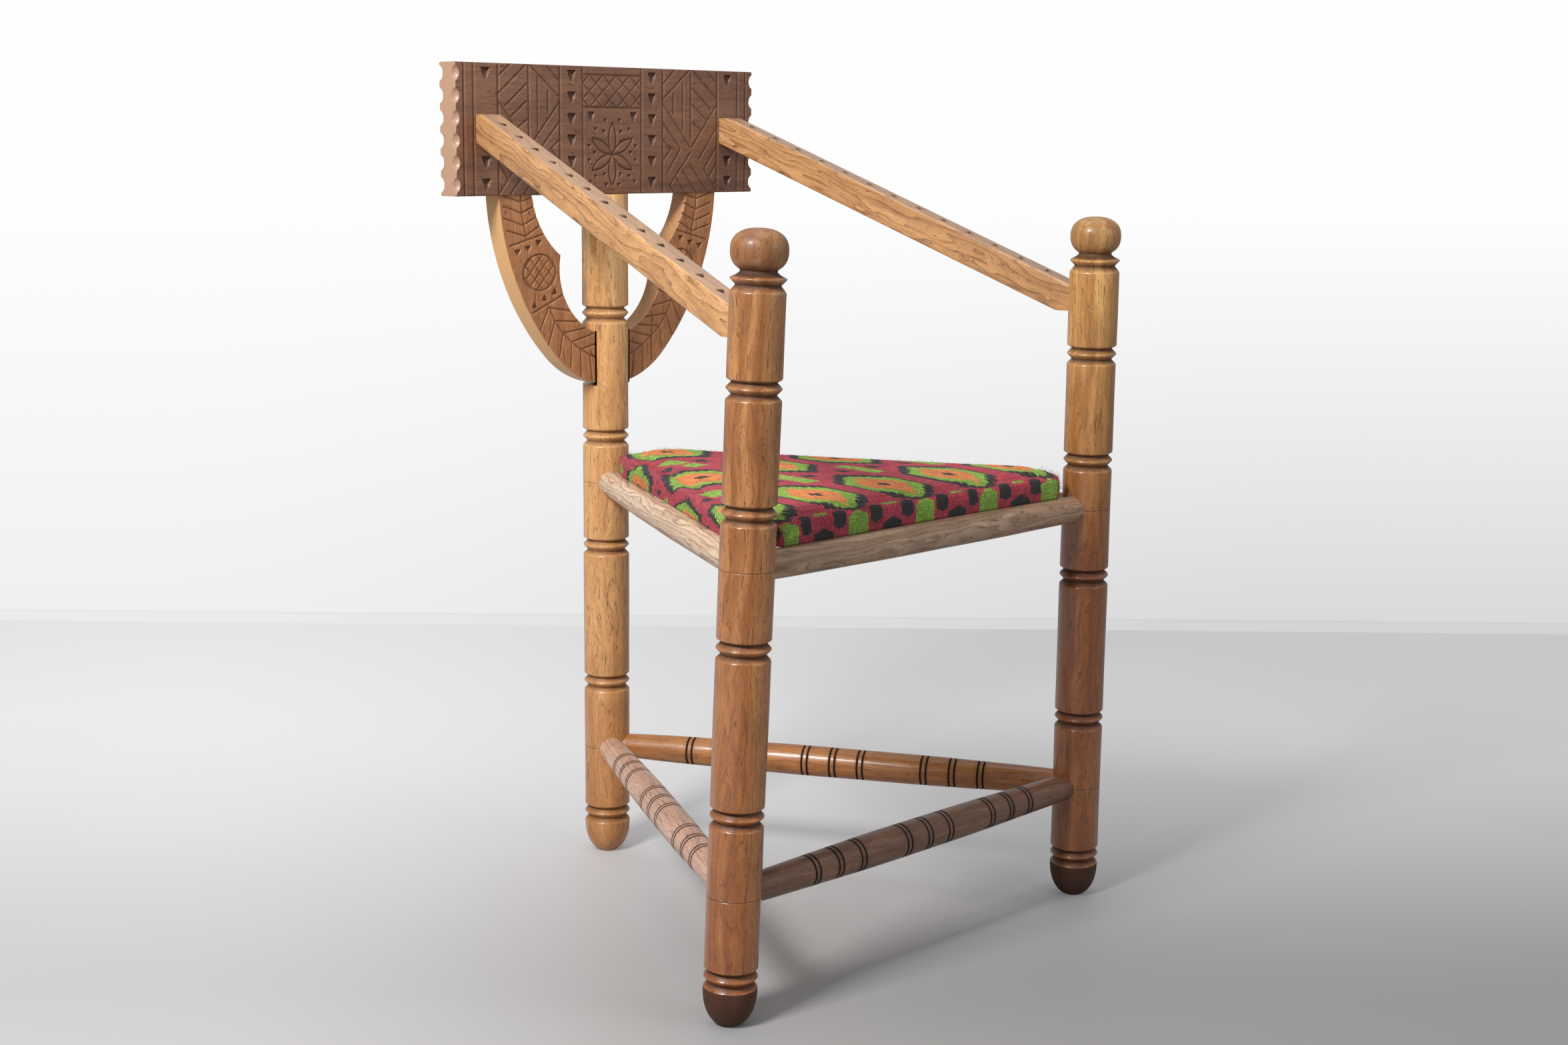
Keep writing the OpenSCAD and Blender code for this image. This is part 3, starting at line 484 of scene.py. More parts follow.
def middle_carving(x, h):
    """Depth of the middle panel: the lattice of the band, the rosette and the chips round it."""
    lattice = []
    for start in range(-70, 71, LATTICE_PITCH):
        for way in (1, -1):
            lattice.append((start, BAND_LOW, start + way * 2 * LATTICE_PITCH, BAND_HIGH))
    in_band = (np.abs(x) < MIDDLE_HALF) & (h > BAND_LOW) & (h < BAND_HIGH)
    cuts = [np.where(in_band, line_depth(x, h, lattice, half_width=1.4, depth=1.0), 0)]
    for turn in np.radians(60 * np.arange(6)):
        along = x * np.sin(turn) + (h - ROSETTE_H) * np.cos(turn)
        across = x * np.cos(turn) - (h - ROSETTE_H) * np.sin(turn)
        cuts.append(petal_depth(along, across, PETAL_L, PETAL_W))
    small_chips = [
        (10, 77), (23.5, 68), (12, 65), (33, 50), (25.5, 43), (33, 35), (24, 18), (11.5, 20),
        (9, 9), (31.5, 12),
    ]
    x = np.abs(x)
    for at, level in small_chips:
        cuts.append(chip_depth(x - at, h - level, width=5.5, height=5.5, depth=2.2, wall=0.7))
    cuts.append(chip_depth(x - 30, h - 81, width=10, height=12, depth=3.2))
    return np.maximum.reduce(cuts)


def petal_depth(along, across, length, width):
    """Depth of a petal's outline: a V groove on both bows of a lens, from the rosette's centre
    outwards. Each bow's radius is (length^2 + width^2) / (4 width)."""
    bow_r = (length ** 2 + width ** 2) / (4 * width)
    away = np.hypot(along - length / 2, np.abs(across) + bow_r - width / 2) - bow_r
    groove = 1.4 * np.clip(1 - np.abs(away) / 1.5, 0, 1)
    return np.where((along > -1) & (along < length + 1), groove, 0)


# Where the gouge's spheres lie: outside the board's end and face by SCOOP_OUT
SCOOP_R = 9.1
SCOOP_OUT = 3.1
BOARD_SOFT = 1.2
BOARD_STRIP = 10.0


def scooped(points):
    """Pushes every point that lies in one of the gouge's spheres out onto that sphere."""
    for x in (-BOARD_L / 2 - SCOOP_OUT, BOARD_L / 2 + SCOOP_OUT):
        for y in (BOARD_FRONT_Y - SCOOP_OUT, BOARD_FRONT_Y + BOARD_T + SCOOP_OUT):
            for level in SCOOP_LEVELS:
                centre = np.array([x, y, BOARD_Z + level])
                away = points - centre
                distance = np.linalg.norm(away, axis=-1, keepdims=True)
                on_sphere = centre + away * SCOOP_R / np.maximum(distance, 1e-6)
                points = np.where(distance < SCOOP_R, on_sphere, points)
    return points


def eased(values, low, high, radius):
    """Pulls both ends of a stretch in by a quarter-circle, for a softened edge."""
    near = np.clip(1 - np.minimum(values - low, high - values) / radius, 0, 1)
    return radius * (1 - np.sqrt(1 - near ** 2))


def back_board(name, material, slot):
    """A box of x columns, z rows and y layers, about 1 mm apart. Front, top, ends and underside
    are grids that share their edges, and the back is one plain face between two gridded end
    strips. The grain runs along x, round a pith behind and below the board."""
    half = BOARD_L / 2
    strip = BOARD_STRIP
    inner = np.arange(-half + strip, half - strip + 0.01, 1.0)
    outer = np.linspace(0, strip, 13)[:-1]
    x = np.concatenate([-half + outer, inner, half - outer[::-1]])
    z = np.linspace(0, BOARD_H, 158)
    y = np.linspace(0, BOARD_T, 15)
    nx, ny, nz = len(x), len(y), len(z)
    index = -np.ones((nx, ny, nz), int)
    outside = np.zeros((nx, ny, nz), bool)
    outside[[0, -1]] = True
    outside[:, 0] = True
    outside[:, :, [0, -1]] = True
    on_strip = (x <= -half + strip + 0.01) | (x >= half - strip - 0.01)
    outside[on_strip, -1] = True
    index[outside] = np.arange(outside.sum())
    gx, gy, gz = np.meshgrid(x, y, z, indexing="ij")
    px, py, pz = gx[outside], gy[outside], gz[outside]
    depth = np.maximum(board_carving(px, pz), middle_carving(px, pz)) * (py == 0)
    near_x = eased(px, -half, half, BOARD_SOFT) * (py == 0)
    near_z = eased(pz, 0, BOARD_H, BOARD_SOFT)
    round_y = np.maximum(near_x, near_z)
    front, back = py == 0, py == BOARD_T
    py = py + np.where(front, depth + round_y, 0) - np.where(back, near_z, 0)
    near_y = eased(gy[outside], 0, BOARD_T, BOARD_SOFT)
    pz = pz + np.where(gz[outside] == 0, near_y, 0) - np.where(gz[outside] == BOARD_H, near_y, 0)
    plain_points = np.stack([px, BOARD_FRONT_Y + py, BOARD_Z + pz], -1)
    points = scooped(plain_points)
    moved = np.linalg.norm(points - plain_points, axis=1)
    left, right = np.flatnonzero(on_strip & (x < 0)), np.flatnonzero(on_strip & (x > 0))
    faces = []
    for grid, facing in (
        (index[:, 0, :], (0, -1, 0)), (index[:, :, -1].T, (0, 0, 1)), (index[:, :, 0], (0, 0, -1)),
        (index[0].T, (-1, 0, 0)), (index[-1], (1, 0, 0)),
        (index[left, -1, :].T, (0, 1, 0)), (index[right, -1, :].T, (0, 1, 0)),
    ):
        sheet = split_quads(grid[:-1, :-1], grid[1:, :-1], grid[1:, 1:], grid[:-1, 1:], depth)
        faces.append(turned_out(points, sheet, facing))
    a, b = left[-1], right[0]
    plain = np.concatenate([
        index[a:b + 1, -1, 0], index[b, -1, 1:], index[a:b, -1, -1][::-1], index[a, -1, 1:-1][::-1],
    ])
    mesh = to_mesh(name, points, np.concatenate(faces), [plain[::-1]])
    grain = [points[:, 1] - BACK_Y + 70, points[:, 2] - BOARD_Z + 12, points[:, 0] + 900]
    mark(mesh, "grain", np.stack(grain, -1))
    mark(mesh, "hollow", np.clip(depth / WAXED_AT, 0, 1))
    # The board's ends and gouged scoops paler: partly the stain's pale sawn ends, partly painted light
    mark(mesh, "bare", np.maximum(np.clip(1.5 - half + np.abs(px), 0, 1), np.clip(moved, 0, 1)))
    piece("carved_" + name, mesh, "frame", material, slot, name)


def turned_out(points, faces, facing):
    """A sheet of triangles, turned so that the sum of their cross products faces a direction."""
    a, b, c = (points[faces[:, k]] for k in range(3))
    area = np.cross(b - a, c - a).sum(0)
    return faces if area @ np.array(facing, float) > 0 else faces[:, ::-1]


# The horseshoe brace. Its outer edge runs from the bow to the flanks, its inner edge from the eye
# over the cusp to the hollow under the board
BOW_R = 107
BOW_Z = 637
FLANK_R = 270
EYE_R = 73
EYE_Z = 657
HOLLOW_R = 96
HOLLOW_X = 14.7
HOLLOW_Z = BOARD_Z + 14
NOTCH_TOP = EYE_Z - np.sqrt(EYE_R ** 2 - POST_R ** 2)
FLANK_X = (FLANK_R - BOW_R) * np.sin(np.radians(45))
FLANK_Z = BOW_Z + (FLANK_R - BOW_R) * np.cos(np.radians(45))
CUSP_X = 71.52
CUSP_Z = EYE_Z + np.sqrt(EYE_R ** 2 - CUSP_X ** 2)
CUSP_SHARE = 0.4
OVAL_X = 100.5
OVAL_Z = 654.5
OVAL_HALF_W = 21.8
OVAL_HALF_H = 18.8
OVAL_PITCH = 9.2
BRACE_SOFT = 1.0
# The back lies this much forward, so that the peg's end stands proud of it
PEG_PROUD = 0.25


def arc(centre, radius, start, end, count):
    """Points on an arc in the XZ plane, between two angles in radians."""
    a = np.linspace(start, end, count)
    return np.stack([centre[0] + radius * np.cos(a), centre[1] + radius * np.sin(a)], -1)


def along_line(line, shares):
    """Points at the given shares of a line's length."""
    lengths = np.concatenate([[0], np.cumsum(np.linalg.norm(np.diff(line, axis=0), axis=1))])
    at = np.asarray(shares) * lengths[-1]
    return np.stack([np.interp(at, lengths, line[:, k]) for k in (0, 1)], -1)


def brace_edges(columns):
    """Outer and inner outline of the brace's right half, from the board down to the middle. The
    cusp of the inner outline lies opposite the outer edge's point at the same share."""
    top_angle = np.arcsin((BOARD_Z - FLANK_Z) / FLANK_R)
    outer = np.concatenate([
        arc((-FLANK_X, FLANK_Z), FLANK_R, top_angle, -np.radians(45), 90)[:-1],
        arc((0, BOW_Z), BOW_R, -np.radians(45), -np.pi / 2, 90),
    ])
    hollow_start = np.arcsin((BOARD_Z - HOLLOW_Z) / HOLLOW_R)
    hollow_end = np.arctan2(CUSP_Z - HOLLOW_Z, CUSP_X - HOLLOW_X)
    upper = arc((HOLLOW_X, HOLLOW_Z), HOLLOW_R, hollow_start, hollow_end, 90)
    lower = arc((0, EYE_Z), EYE_R, np.arctan2(CUSP_Z - EYE_Z, CUSP_X), -np.pi / 2, 120)
    share = np.linspace(0, 1, columns)
    split = int(round(CUSP_SHARE * (columns - 1)))
    inner = np.concatenate([
        along_line(upper, share[:split + 1] / share[split]),
        along_line(lower, (share[split + 1:] - share[split]) / (1 - share[split])),
    ])
    return along_line(outer, share), inner


def brace_carving(x, z):
    """Depth of the carving on the brace's front: a spine with slanting barbs above and below an
    oval filled with crossing lines, rows of chips and a cross line on both sides of the oval."""
    x = np.abs(x)
    lines = [
        (126, 738, 124, 716), (124, 716, 117.4, 689), (140.4, 682.7, 95.7, 694.2),
        (125.5, 728, 147.6, 735), (125.5, 728, 104.5, 735), (124.5, 716.5, 148, 724),
        (124.5, 716.5, 102.8, 725.5), (122.5, 704, 147.3, 711.5), (122.5, 704, 101.4, 714),
        (119.6, 692.5, 144, 699), (119.6, 692.5, 99.3, 703.5),
        (110.2, 612.2, 67.5, 630.2), (89, 619, 80, 602.5), (80, 602.5, 69.4, 588.9),
        (69.4, 588.9, 57.2, 578.5), (57.2, 578.5, 44.7, 570), (44.7, 570, 32.2, 563.5),
        (32.2, 563.5, 16, 557.5),
        (89, 617, 100, 594.2), (89, 617, 59.2, 612), (80, 602.5, 89.5, 577), (80, 602.5, 49.2, 600),
        (69.4, 588.9, 74, 564.3), (69.4, 588.9, 38, 592.5), (57.2, 578.5, 58.7, 551.4),
        (57.2, 578.5, 27.3, 585.9), (44.7, 570, 44.2, 541), (44.7, 570, 18.2, 576),
        (32.2, 563.5, 28.5, 535.5),
    ]
    rim = np.hypot((x - OVAL_X) / OVAL_HALF_W, (z - OVAL_Z) / OVAL_HALF_H)
    rim_groove = 1.3 * np.clip(1 - np.abs(rim - 1) * 20 / 1.5, 0, 1)
    cuts = [line_depth(x, z, lines, half_width=1.5, depth=1.2), rim_groove]
    for turn in (1, -1):
        level = (x - OVAL_X) * 0.74 + turn * (z - OVAL_Z) * 0.67
        gap = np.abs((level + OVAL_PITCH / 2) % OVAL_PITCH - OVAL_PITCH / 2)
        cuts.append(np.where(rim < 1, 1.2 * np.clip(1 - gap / 1.3, 0, 1), 0))
    for at, level in ((130.2, 676), (116.1, 679.7), (101.8, 685.1)):
        cuts.append(chip_depth(x - at, z - level + 1, width=9, height=8.6, depth=2.6))
    for at, level in ((107.9, 621.4), (94.2, 628.4), (80.4, 634.8)):
        cuts.append(chip_depth(x - at, level - z, width=8.5, height=8.6, depth=2.6))
    return np.maximum.reduce(cuts)


def horseshoe_brace(name, material, slot):
    """A loop (front face from the outer to the inner edge, inner side, back, outer side) carried
    along the brace from one end at the board to the other."""
    columns = 330
    outer, inner = brace_edges(columns)
    mirrored = np.array([-1, 1])
    outer = np.concatenate([outer, (outer * mirrored)[::-1][1:]])
    inner = np.concatenate([inner, (inner * mirrored)[::-1][1:]])
    front_count, side_count, back_count = 62, 9, 4
    v = np.linspace(0, 1, front_count)
    depth_share = np.linspace(0, 1, side_count)[1:-1]
    back_v = np.linspace(1, 0, back_count)
    across = np.concatenate([v, np.ones(side_count - 2), back_v, np.zeros(side_count - 2)])
    back = np.concatenate([np.zeros(front_count), depth_share, np.ones(back_count), depth_share[::-1]])
    flat = outer[:, None] * (1 - across)[None, :, None] + inner[:, None] * across[None, :, None]
    x, z = flat[..., 0], flat[..., 1]
    on_front = (back == 0)[None, :]
    cut = np.where(on_front, brace_carving(x, z), 0)
    width = np.linalg.norm(outer - inner, axis=1)[:, None]
    rim = np.minimum(across, 1 - across)[None, :] * width
    near = np.clip(1 - rim / BRACE_SOFT, 0, 1)
    soft = BRACE_SOFT * (1 - np.sqrt(1 - near ** 2))
    y = BRACE_FRONT_Y + back[None, :] * (BRACE_T - PEG_PROUD) + cut
    y = y + np.where(on_front, soft, 0) - np.where((back == 1)[None, :], soft, 0)
    points = np.stack([x, np.broadcast_to(y, x.shape), z], -1)
    rows, around = x.shape
    mesh = to_mesh(name, points.reshape(-1, 3), tube_faces(rows, around, cut), tube_caps(rows, around))
    p = points.reshape(-1, 3)
    grain = [p[:, 1] - BACK_Y + 55, p[:, 0] * 0.9 + 300, p[:, 2] + 2500]
    mark(mesh, "grain", np.stack(grain, -1))
    mark(mesh, "hollow", np.clip(cut / WAXED_AT, 0, 1).ravel())
    # The outer edge and, less, the inner edge paler: painted light
    mark(mesh, "bare", np.broadcast_to(1.0 * (across <= 0) + 0.35 * (across >= 1), x.shape).ravel())
    piece("carved_" + name, mesh, "frame", material, slot, name)


# Arms. Their ends lie inside the post's surface by ARM_SINK, and blend into it over ARM_FADE
ARM_CHIPS = 13
ARM_ROUND = 2.2
ARM_SINK = 0.8
ARM_FADE = 42.0
# The bar's top corner at the board and its lower corner at the post are planed level
ARM_TOP_TRIM = 4
ARM_LOW_TRIM = 5


def rounded_box_loop(height, width, radius, top_count, side_count):
    """A rounded rectangle as [up, across] points, counter-clockwise from the left of the top."""
    h, w = height / 2 - radius, width / 2 - radius
    corner = np.linspace(0, np.pi / 2, 4)[1:-1]

    def turn(cu, ca, start):
        """The inner points of one corner's quarter-circle."""
        a = start + corner
        return np.stack([cu + radius * np.sin(a), ca + radius * np.cos(a)], -1)

    top = np.stack([np.full(top_count, height / 2), np.linspace(-w, w, top_count)[::-1]], -1)
    left = np.stack([np.linspace(h, -h, side_count), np.full(side_count, -width / 2)], -1)
    low = np.stack([np.full(side_count, -height / 2), np.linspace(-w, w, side_count)], -1)
    right = np.stack([np.linspace(-h, h, side_count), np.full(side_count, width / 2)], -1)
    return np.concatenate([
        top, turn(h, -w, np.pi / 2), left, turn(-h, -w, np.pi), low,
        turn(-h, w, 3 * np.pi / 2), right, turn(h, w, 0),
    ])


def arm(side, name, material, slot, seed):
    """A rounded bar from the board's face to the front post. Each line along it runs from where
    it meets the post's cylinder to where it meets the board's plane."""
    back = np.array([side * ARM_BACK_X, BOARD_FRONT_Y, ARM_BACK_Z])
    front = front_axis(side, ARM_FRONT_Z)
    length = np.linalg.norm(back - front)
    axis, across, up = crossing(front, back)
    loop = rounded_box_loop(ARM_H, ARM_W, ARM_ROUND, 25, 9)
    base = front + loop[:, :1] * up + loop[:, 1:] * across
    to_back = (BOARD_FRONT_Y - base[:, 1]) / axis[1]
    # On the post |p + t q| = its radius, with p and q the parts square to the post's axis
    post_axis = unit(front_axis(side, ABOVE_ALL) - front_axis(side, 0))
    away = base - front_axis(side, 0)
    p = away - (away @ post_axis)[:, None] * post_axis
    q = axis - (axis @ post_axis) * post_axis
    a, b, c = q @ q, p @ q, np.einsum("ij,ij->i", p, p) - (POST_R - ARM_SINK) ** 2
    to_front = (-b + np.sqrt(b * b - a * c)) / a
    first, last = to_front.mean(), to_back.mean()
    t = np.linspace(first, last, 470)[:, None]
    run = (
        t + (to_front - first) * smoothstep(1 - (t - first) / ARM_FADE)
        + (to_back - last) * smoothstep(1 - (last - t) / ARM_FADE)
    )
    points = base[None] + run[..., None] * axis
    slope = np.arcsin(axis[2])
    stop = POST_R / np.cos(slope)
    half_rise = ARM_H / 2 / np.cos(slope)
    on_top = (loop[:, 0] == ARM_H / 2)[None, :]
    cut = np.zeros(run.shape)
    for i in range(1, ARM_CHIPS + 1):
        at = stop + (length - stop) * i / (ARM_CHIPS + 1)
        chip = chip_depth(loop[None, :, 1], run - at, width=10, height=9.5, depth=3, wall=0.8)
        cut = np.maximum(cut, chip)
    cut = np.where(on_top, cut, 0)
    rng = np.random.default_rng(seed)
    points = points - cut[..., None] * up
    top_level = ARM_BACK_Z + half_rise - ARM_TOP_TRIM
    low_level = ARM_FRONT_Z + stop * np.sin(slope) - half_rise + ARM_LOW_TRIM
    points[..., 2] = np.clip(points[..., 2], low_level, top_level)
    rows, around = run.shape
    mesh = to_mesh(name, points.reshape(-1, 3), tube_faces(rows, around, cut), tube_caps(rows, around))
    own = np.stack([
        np.broadcast_to(loop[:, 1] + rng.uniform(20, 30), run.shape),
        np.broadcast_to(loop[:, 0] + rng.uniform(10, 25), run.shape),
        run + rng.uniform(0, 4000),
    ], -1)
    mark(mesh, "grain", own.reshape(-1, 3))
    mark(mesh, "hollow", np.clip(cut / 0.9, 0, 1).ravel())
    # The top greyer and darker: painted shade
    mark(mesh, "bare", np.broadcast_to(0.7 * on_top, run.shape).ravel())
    piece("carved_" + name, mesh, "frame", material, slot, name)


# Materials

def paint(hex_colour):
    """An sRGB hex colour as linear RGBA."""
    srgb = np.array([int(hex_colour[i:i + 2], 16) for i in (1, 3, 5)]) / 255
    linear = np.where(srgb <= 0.04045, srgb / 12.92, ((srgb + 0.055) / 1.055) ** 2.4)
    return (*linear.tolist(), 1.0)


def node(tree, kind, settings, *ordered, **named):
    """Adds a node with its settings and gives its outputs. The settings are a dictionary, or the
    operation alone. Values for its inputs come in order, by name with underscores for spaces, or
    as in_6 for input 6. A socket is linked, anything else is stored."""
    made = tree.nodes.new("ShaderNode" + kind)
    if isinstance(settings, str):
        settings = {"operation": settings}
    for key, value in settings.items():
        setattr(made, key, value)
    places = list(enumerate(ordered))
    for key, value in named.items():
        places.append((int(key[3:]) if key.startswith("in_") else key.replace("_", " "), value))
    for place, value in places:
        if isinstance(value, bpy.types.NodeSocket):
            tree.links.new(value, made.inputs[place])
        else:
            made.inputs[place].default_value = value
    return made.outputs


COLOURS = {"data_type": "RGBA"}
SMOOTH = {"interpolation_type": "SMOOTHSTEP"}
IN_PLANE = {"noise_dimensions": "2D"}


def stops(outputs, *pairs):
    """Sets the stops of a colour ramp from (place, hex colour) pairs and gives its colour."""
    elements = outputs[0].node.color_ramp.elements
    while len(elements) < len(pairs):
        elements.new(1.0)
    for element, (place, colour) in zip(elements, pairs):
        element.position = place
        element.color = paint(colour)
    return outputs["Color"]


def new_material(name):
    """An empty material and its node tree."""
    material = bpy.data.materials.new(name)
    material.use_nodes = True
    material.node_tree.nodes.clear()
    return material, material.node_tree


def oak(
    name, light, middle, dark, pore_colour, wax_colour, gloss, coat, figure=0.08, dirt=0.75,
    bare_colour="#cf9f68", painted_light_by_height=None,
):
    """Oiled and waxed oak. To the eye: soft growth rings that run into long flames, dark pores
    drawn out along the grain, uneven patina, wax in the grooves, paler ends and edges, partly
    the stain's pale sawn ends and partly painted light and shade, and a soft uneven shine. The
    last argument holds two heights, in metres, and the factors on the colour at each: painted
    shade that darkens the oak near the floor, and painted light that makes it paler higher up."""
    material, tree = new_material(name)
    grain = node(tree, "Attribute", {"attribute_name": "grain"})["Vector"]
    hollow = node(tree, "Attribute", {"attribute_name": "hollow"})["Fac"]
    # Slow bends of the grain, some 80 mm long and 8 mm deep
    drawn_out = node(tree, "Mapping", {}, grain, Scale=(1.0, 1.0, 0.2))[0]
    bend = node(tree, "TexNoise", {}, drawn_out, Scale=0.045, Detail=2.0, Roughness=0.5)["Color"]
    bent = node(tree, "VectorMath", "MULTIPLY_ADD", bend, (30.0, 30.0, 0.0), grain)[0]
    # Growth rings about 5 mm wide round a pith beside the piece
    along = node(tree, "Mapping", {}, bent, Scale=(1.0, 1.0, 0.03))[0]
    rings = node(
        tree, "TexWave", {"wave_type": "RINGS", "rings_direction": "Z", "wave_profile": "SAW"},
        along, Scale=0.065, Distortion=2.0, Detail=2.0, Detail_Scale=0.6, Detail_Roughness=0.6,
    )["Fac"]
    ring_line = node(tree, "Math", "POWER", rings, 2.5)[0]
    tone = node(tree, "TexNoise", {}, along, Scale=0.075, Detail=4.0, Roughness=0.6)["Fac"]
    sum_tone = node(tree, "Math", "MULTIPLY_ADD", ring_line, figure, tone)[0]
    base = stops(node(tree, "ValToRGB", {}, sum_tone), (0.36, light), (0.58, middle), (0.9, dark))
    # Pores 0.4 mm wide and some 15 mm long, closer together in the early wood
    pore_space = node(tree, "Mapping", {}, bent, Scale=(1.0, 1.0, 0.035))[0]
    pores = node(tree, "TexNoise", {}, pore_space, Scale=1.3, Detail=2.0, Roughness=0.6)["Fac"]
    crowded = node(tree, "Math", "MULTIPLY_ADD", ring_line, 0.08, pores)[0]
    pore_share = node(tree, "MapRange", {}, crowded, 0.57, 0.70, 0.0, 0.85)[0]
    # Fibres 0.2 mm wide
    fibres = node(tree, "TexNoise", {}, pore_space, Scale=3.0, Detail=2.0, Roughness=0.7)["Fac"]
    fibre_share = node(tree, "MapRange", {}, fibres, 0.42, 0.75, 0.0, 0.3)[0]
    both = node(tree, "Math", "MAXIMUM", pore_share, fibre_share)[0]
    grained = node(tree, "Mix", COLOURS, both, in_6=base, in_7=paint(pore_colour))[2]
    # Patina: darker and lighter clouds 40 to 80 mm across
    cloud = node(tree, "TexNoise", {}, grain, Scale=0.022, Detail=4.0, Roughness=0.65)["Fac"]
    cloud_share = node(tree, "MapRange", {}, cloud, 0.48, 0.75, 0.0, 0.4)[0]
    clouded = node(tree, "Mix", COLOURS, cloud_share, in_6=grained, in_7=paint(dark))[2]
    # Paler ends and edges, and a greyer arm top: partly the stain's pale sawn ends, partly painted
    # light and painted shade
    bare = node(tree, "Attribute", {"attribute_name": "bare"})["Fac"]
    bare_share = node(tree, "Math", "MULTIPLY", bare, 0.8)[0]
    clouded = node(tree, "Mix", COLOURS, bare_share, in_6=clouded, in_7=paint(bare_colour))[2]
    # Old wax and dirt in the hollows
    hollow_share = node(tree, "MapRange", {}, hollow, 0.1, 0.95, 0.0, dirt)[0]
    wax_and_height_light = node(tree, "Mix", COLOURS, hollow_share, in_6=clouded, in_7=paint(wax_colour))[2]
    # Painted light and shade by height: the colour darker near the floor and paler higher up
    if painted_light_by_height:
        low, low_shade_factor, high, high_light_factor = painted_light_by_height
        height = node(tree, "SeparateXYZ", {}, node(tree, "TexCoord", {})["Object"])["Z"]
        above = node(tree, "MapRange", {}, height, low, high, 0.0, 1.0)[0]
        painted_height_light = node(tree, "Mix", COLOURS, above, in_6=(*low_shade_factor, 1.0), in_7=(*high_light_factor, 1.0))[2]
        wax_and_height_light = node(tree, "VectorMath", "MULTIPLY", wax_and_height_light, painted_height_light)[0]
    # Pale scuffs, 1 mm wide dots and scratches
    scuff = node(tree, "TexNoise", {}, grain, Scale=0.25, Detail=5.0, Roughness=0.75)["Fac"]
    scuff_share = node(tree, "MapRange", {}, scuff, 0.71, 0.78, 0.0, 0.4)[0]
    colour = node(tree, "Mix", COLOURS, scuff_share, in_6=wax_and_height_light, in_7=paint("#e0c6a2"))[2]
    # The wax is duller in the clouds and dull in the hollows, the open pores lie 0.2 mm deep
    shine = node(tree, "MapRange", {}, cloud, 0.3, 0.7, gloss - 0.06, gloss + 0.12)[0]
    shine = node(tree, "Math", "MULTIPLY_ADD", hollow_share, 0.5, shine)[0]
    coat_at = node(tree, "MapRange", {}, hollow, 0.05, 0.5, coat, 0.0)[0]
    bump = node(tree, "Bump", {"invert": True}, Strength=0.35, Distance=0.0002, Height=both)[0]
    shader = node(
        tree, "BsdfPrincipled", {}, Base_Color=colour, Roughness=shine, Normal=bump,
        IOR=1.5, Coat_Weight=coat_at, Coat_Roughness=0.16,
    )
    node(tree, "OutputMaterial", {}, shader[0])
    return material


def small_wood(name, light, dark, layered=False):
    """Bare, unpolished wood of the small parts. To the eye: straight fine grain along X, and on
    plywood the edge's thin layers, every second one darker."""
    material, tree = new_material(name)
    place = node(tree, "TexCoord", {})["Object"]
    stretched = node(tree, "Mapping", {}, place, Scale=(40.0, 900.0, 900.0))[0]
    streaks = node(tree, "TexNoise", {}, stretched, Scale=1.0, Detail=3.0, Roughness=0.6)["Fac"]
    colour = stops(node(tree, "ValToRGB", {}, streaks), (0.35, light), (0.7, dark))
    if layered:
        height = node(tree, "SeparateXYZ", {}, place)["Z"]
        level = node(tree, "Math", "PINGPONG", height, 0.0015)[0]
        glue = node(tree, "MapRange", {}, level, 0.0006, 0.0009, 0.0, 0.5)[0]
        normal = node(tree, "NewGeometry", {})["Normal"]
        upright = node(tree, "SeparateXYZ", {}, normal)["Z"]
        on_face = node(tree, "Math", "ABSOLUTE", upright)[0]
        on_edge = node(tree, "MapRange", {}, on_face, 0.3, 0.6, 1.0, 0.0)[0]
        share = node(tree, "Math", "MULTIPLY", glue, on_edge)[0]
        colour = node(tree, "Mix", COLOURS, share, in_6=colour, in_7=paint("#7d5a38"))[2]
    bump = node(tree, "Bump", {}, Strength=0.3, Distance=0.0002, Height=streaks)[0]
    shader = node(tree, "BsdfPrincipled", {}, Base_Color=colour, Roughness=0.65, Normal=bump)
    node(tree, "OutputMaterial", {}, shader[0])
    return material


def steel(name, hex_colour, rough):
    """Small steel parts. To the eye: metal with a slightly blotched, used surface."""
    material, tree = new_material(name)
    place = node(tree, "TexCoord", {})["Object"]
    blotch = node(tree, "TexNoise", {}, place, Scale=900.0, Detail=3.0, Roughness=0.6)["Fac"]
    rough_at = node(tree, "MapRange", {}, blotch, 0.3, 0.7, rough - 0.08, rough + 0.12)[0]
    shader = node(
        tree, "BsdfPrincipled", {}, Base_Color=paint(hex_colour), Metallic=1.0, Roughness=rough_at,
    )
    node(tree, "OutputMaterial", {}, shader[0])
    return material


def raw_wadding(name):
    """Carded wool wadding. To the eye: soft, matt, cream, with matted tufts 3 to 10 mm wide."""
    material, tree = new_material(name)
    place = node(tree, "Attribute", {"attribute_name": "weave"})["Vector"]
    tufts = node(tree, "TexNoise", {}, place, Scale=0.2, Detail=5.0, Roughness=0.7)["Fac"]
    colour = stops(node(tree, "ValToRGB", {}, tufts), (0.3, "#cabfa8"), (0.7, "#e9e2d2"))
    bump = node(tree, "Bump", {}, Strength=0.8, Distance=0.002, Height=tufts)[0]
    shader = node(
        tree, "BsdfPrincipled", {}, Base_Color=colour, Roughness=0.95, Normal=bump,
        Sheen_Weight=0.3, Sheen_Roughness=0.5,
    )
    node(tree, "OutputMaterial", {}, shader[0])
    return material


# The wool cover's pattern: a repeat of 96 by 155 mm with a long hexagon in its middle
REPEAT_X = 96.0
REPEAT_Y = 155.0
MEDALLION_X = -3.0
MEDALLION_Y = -172.0
STITCH_W = 3.4
STITCH_L = 5.6


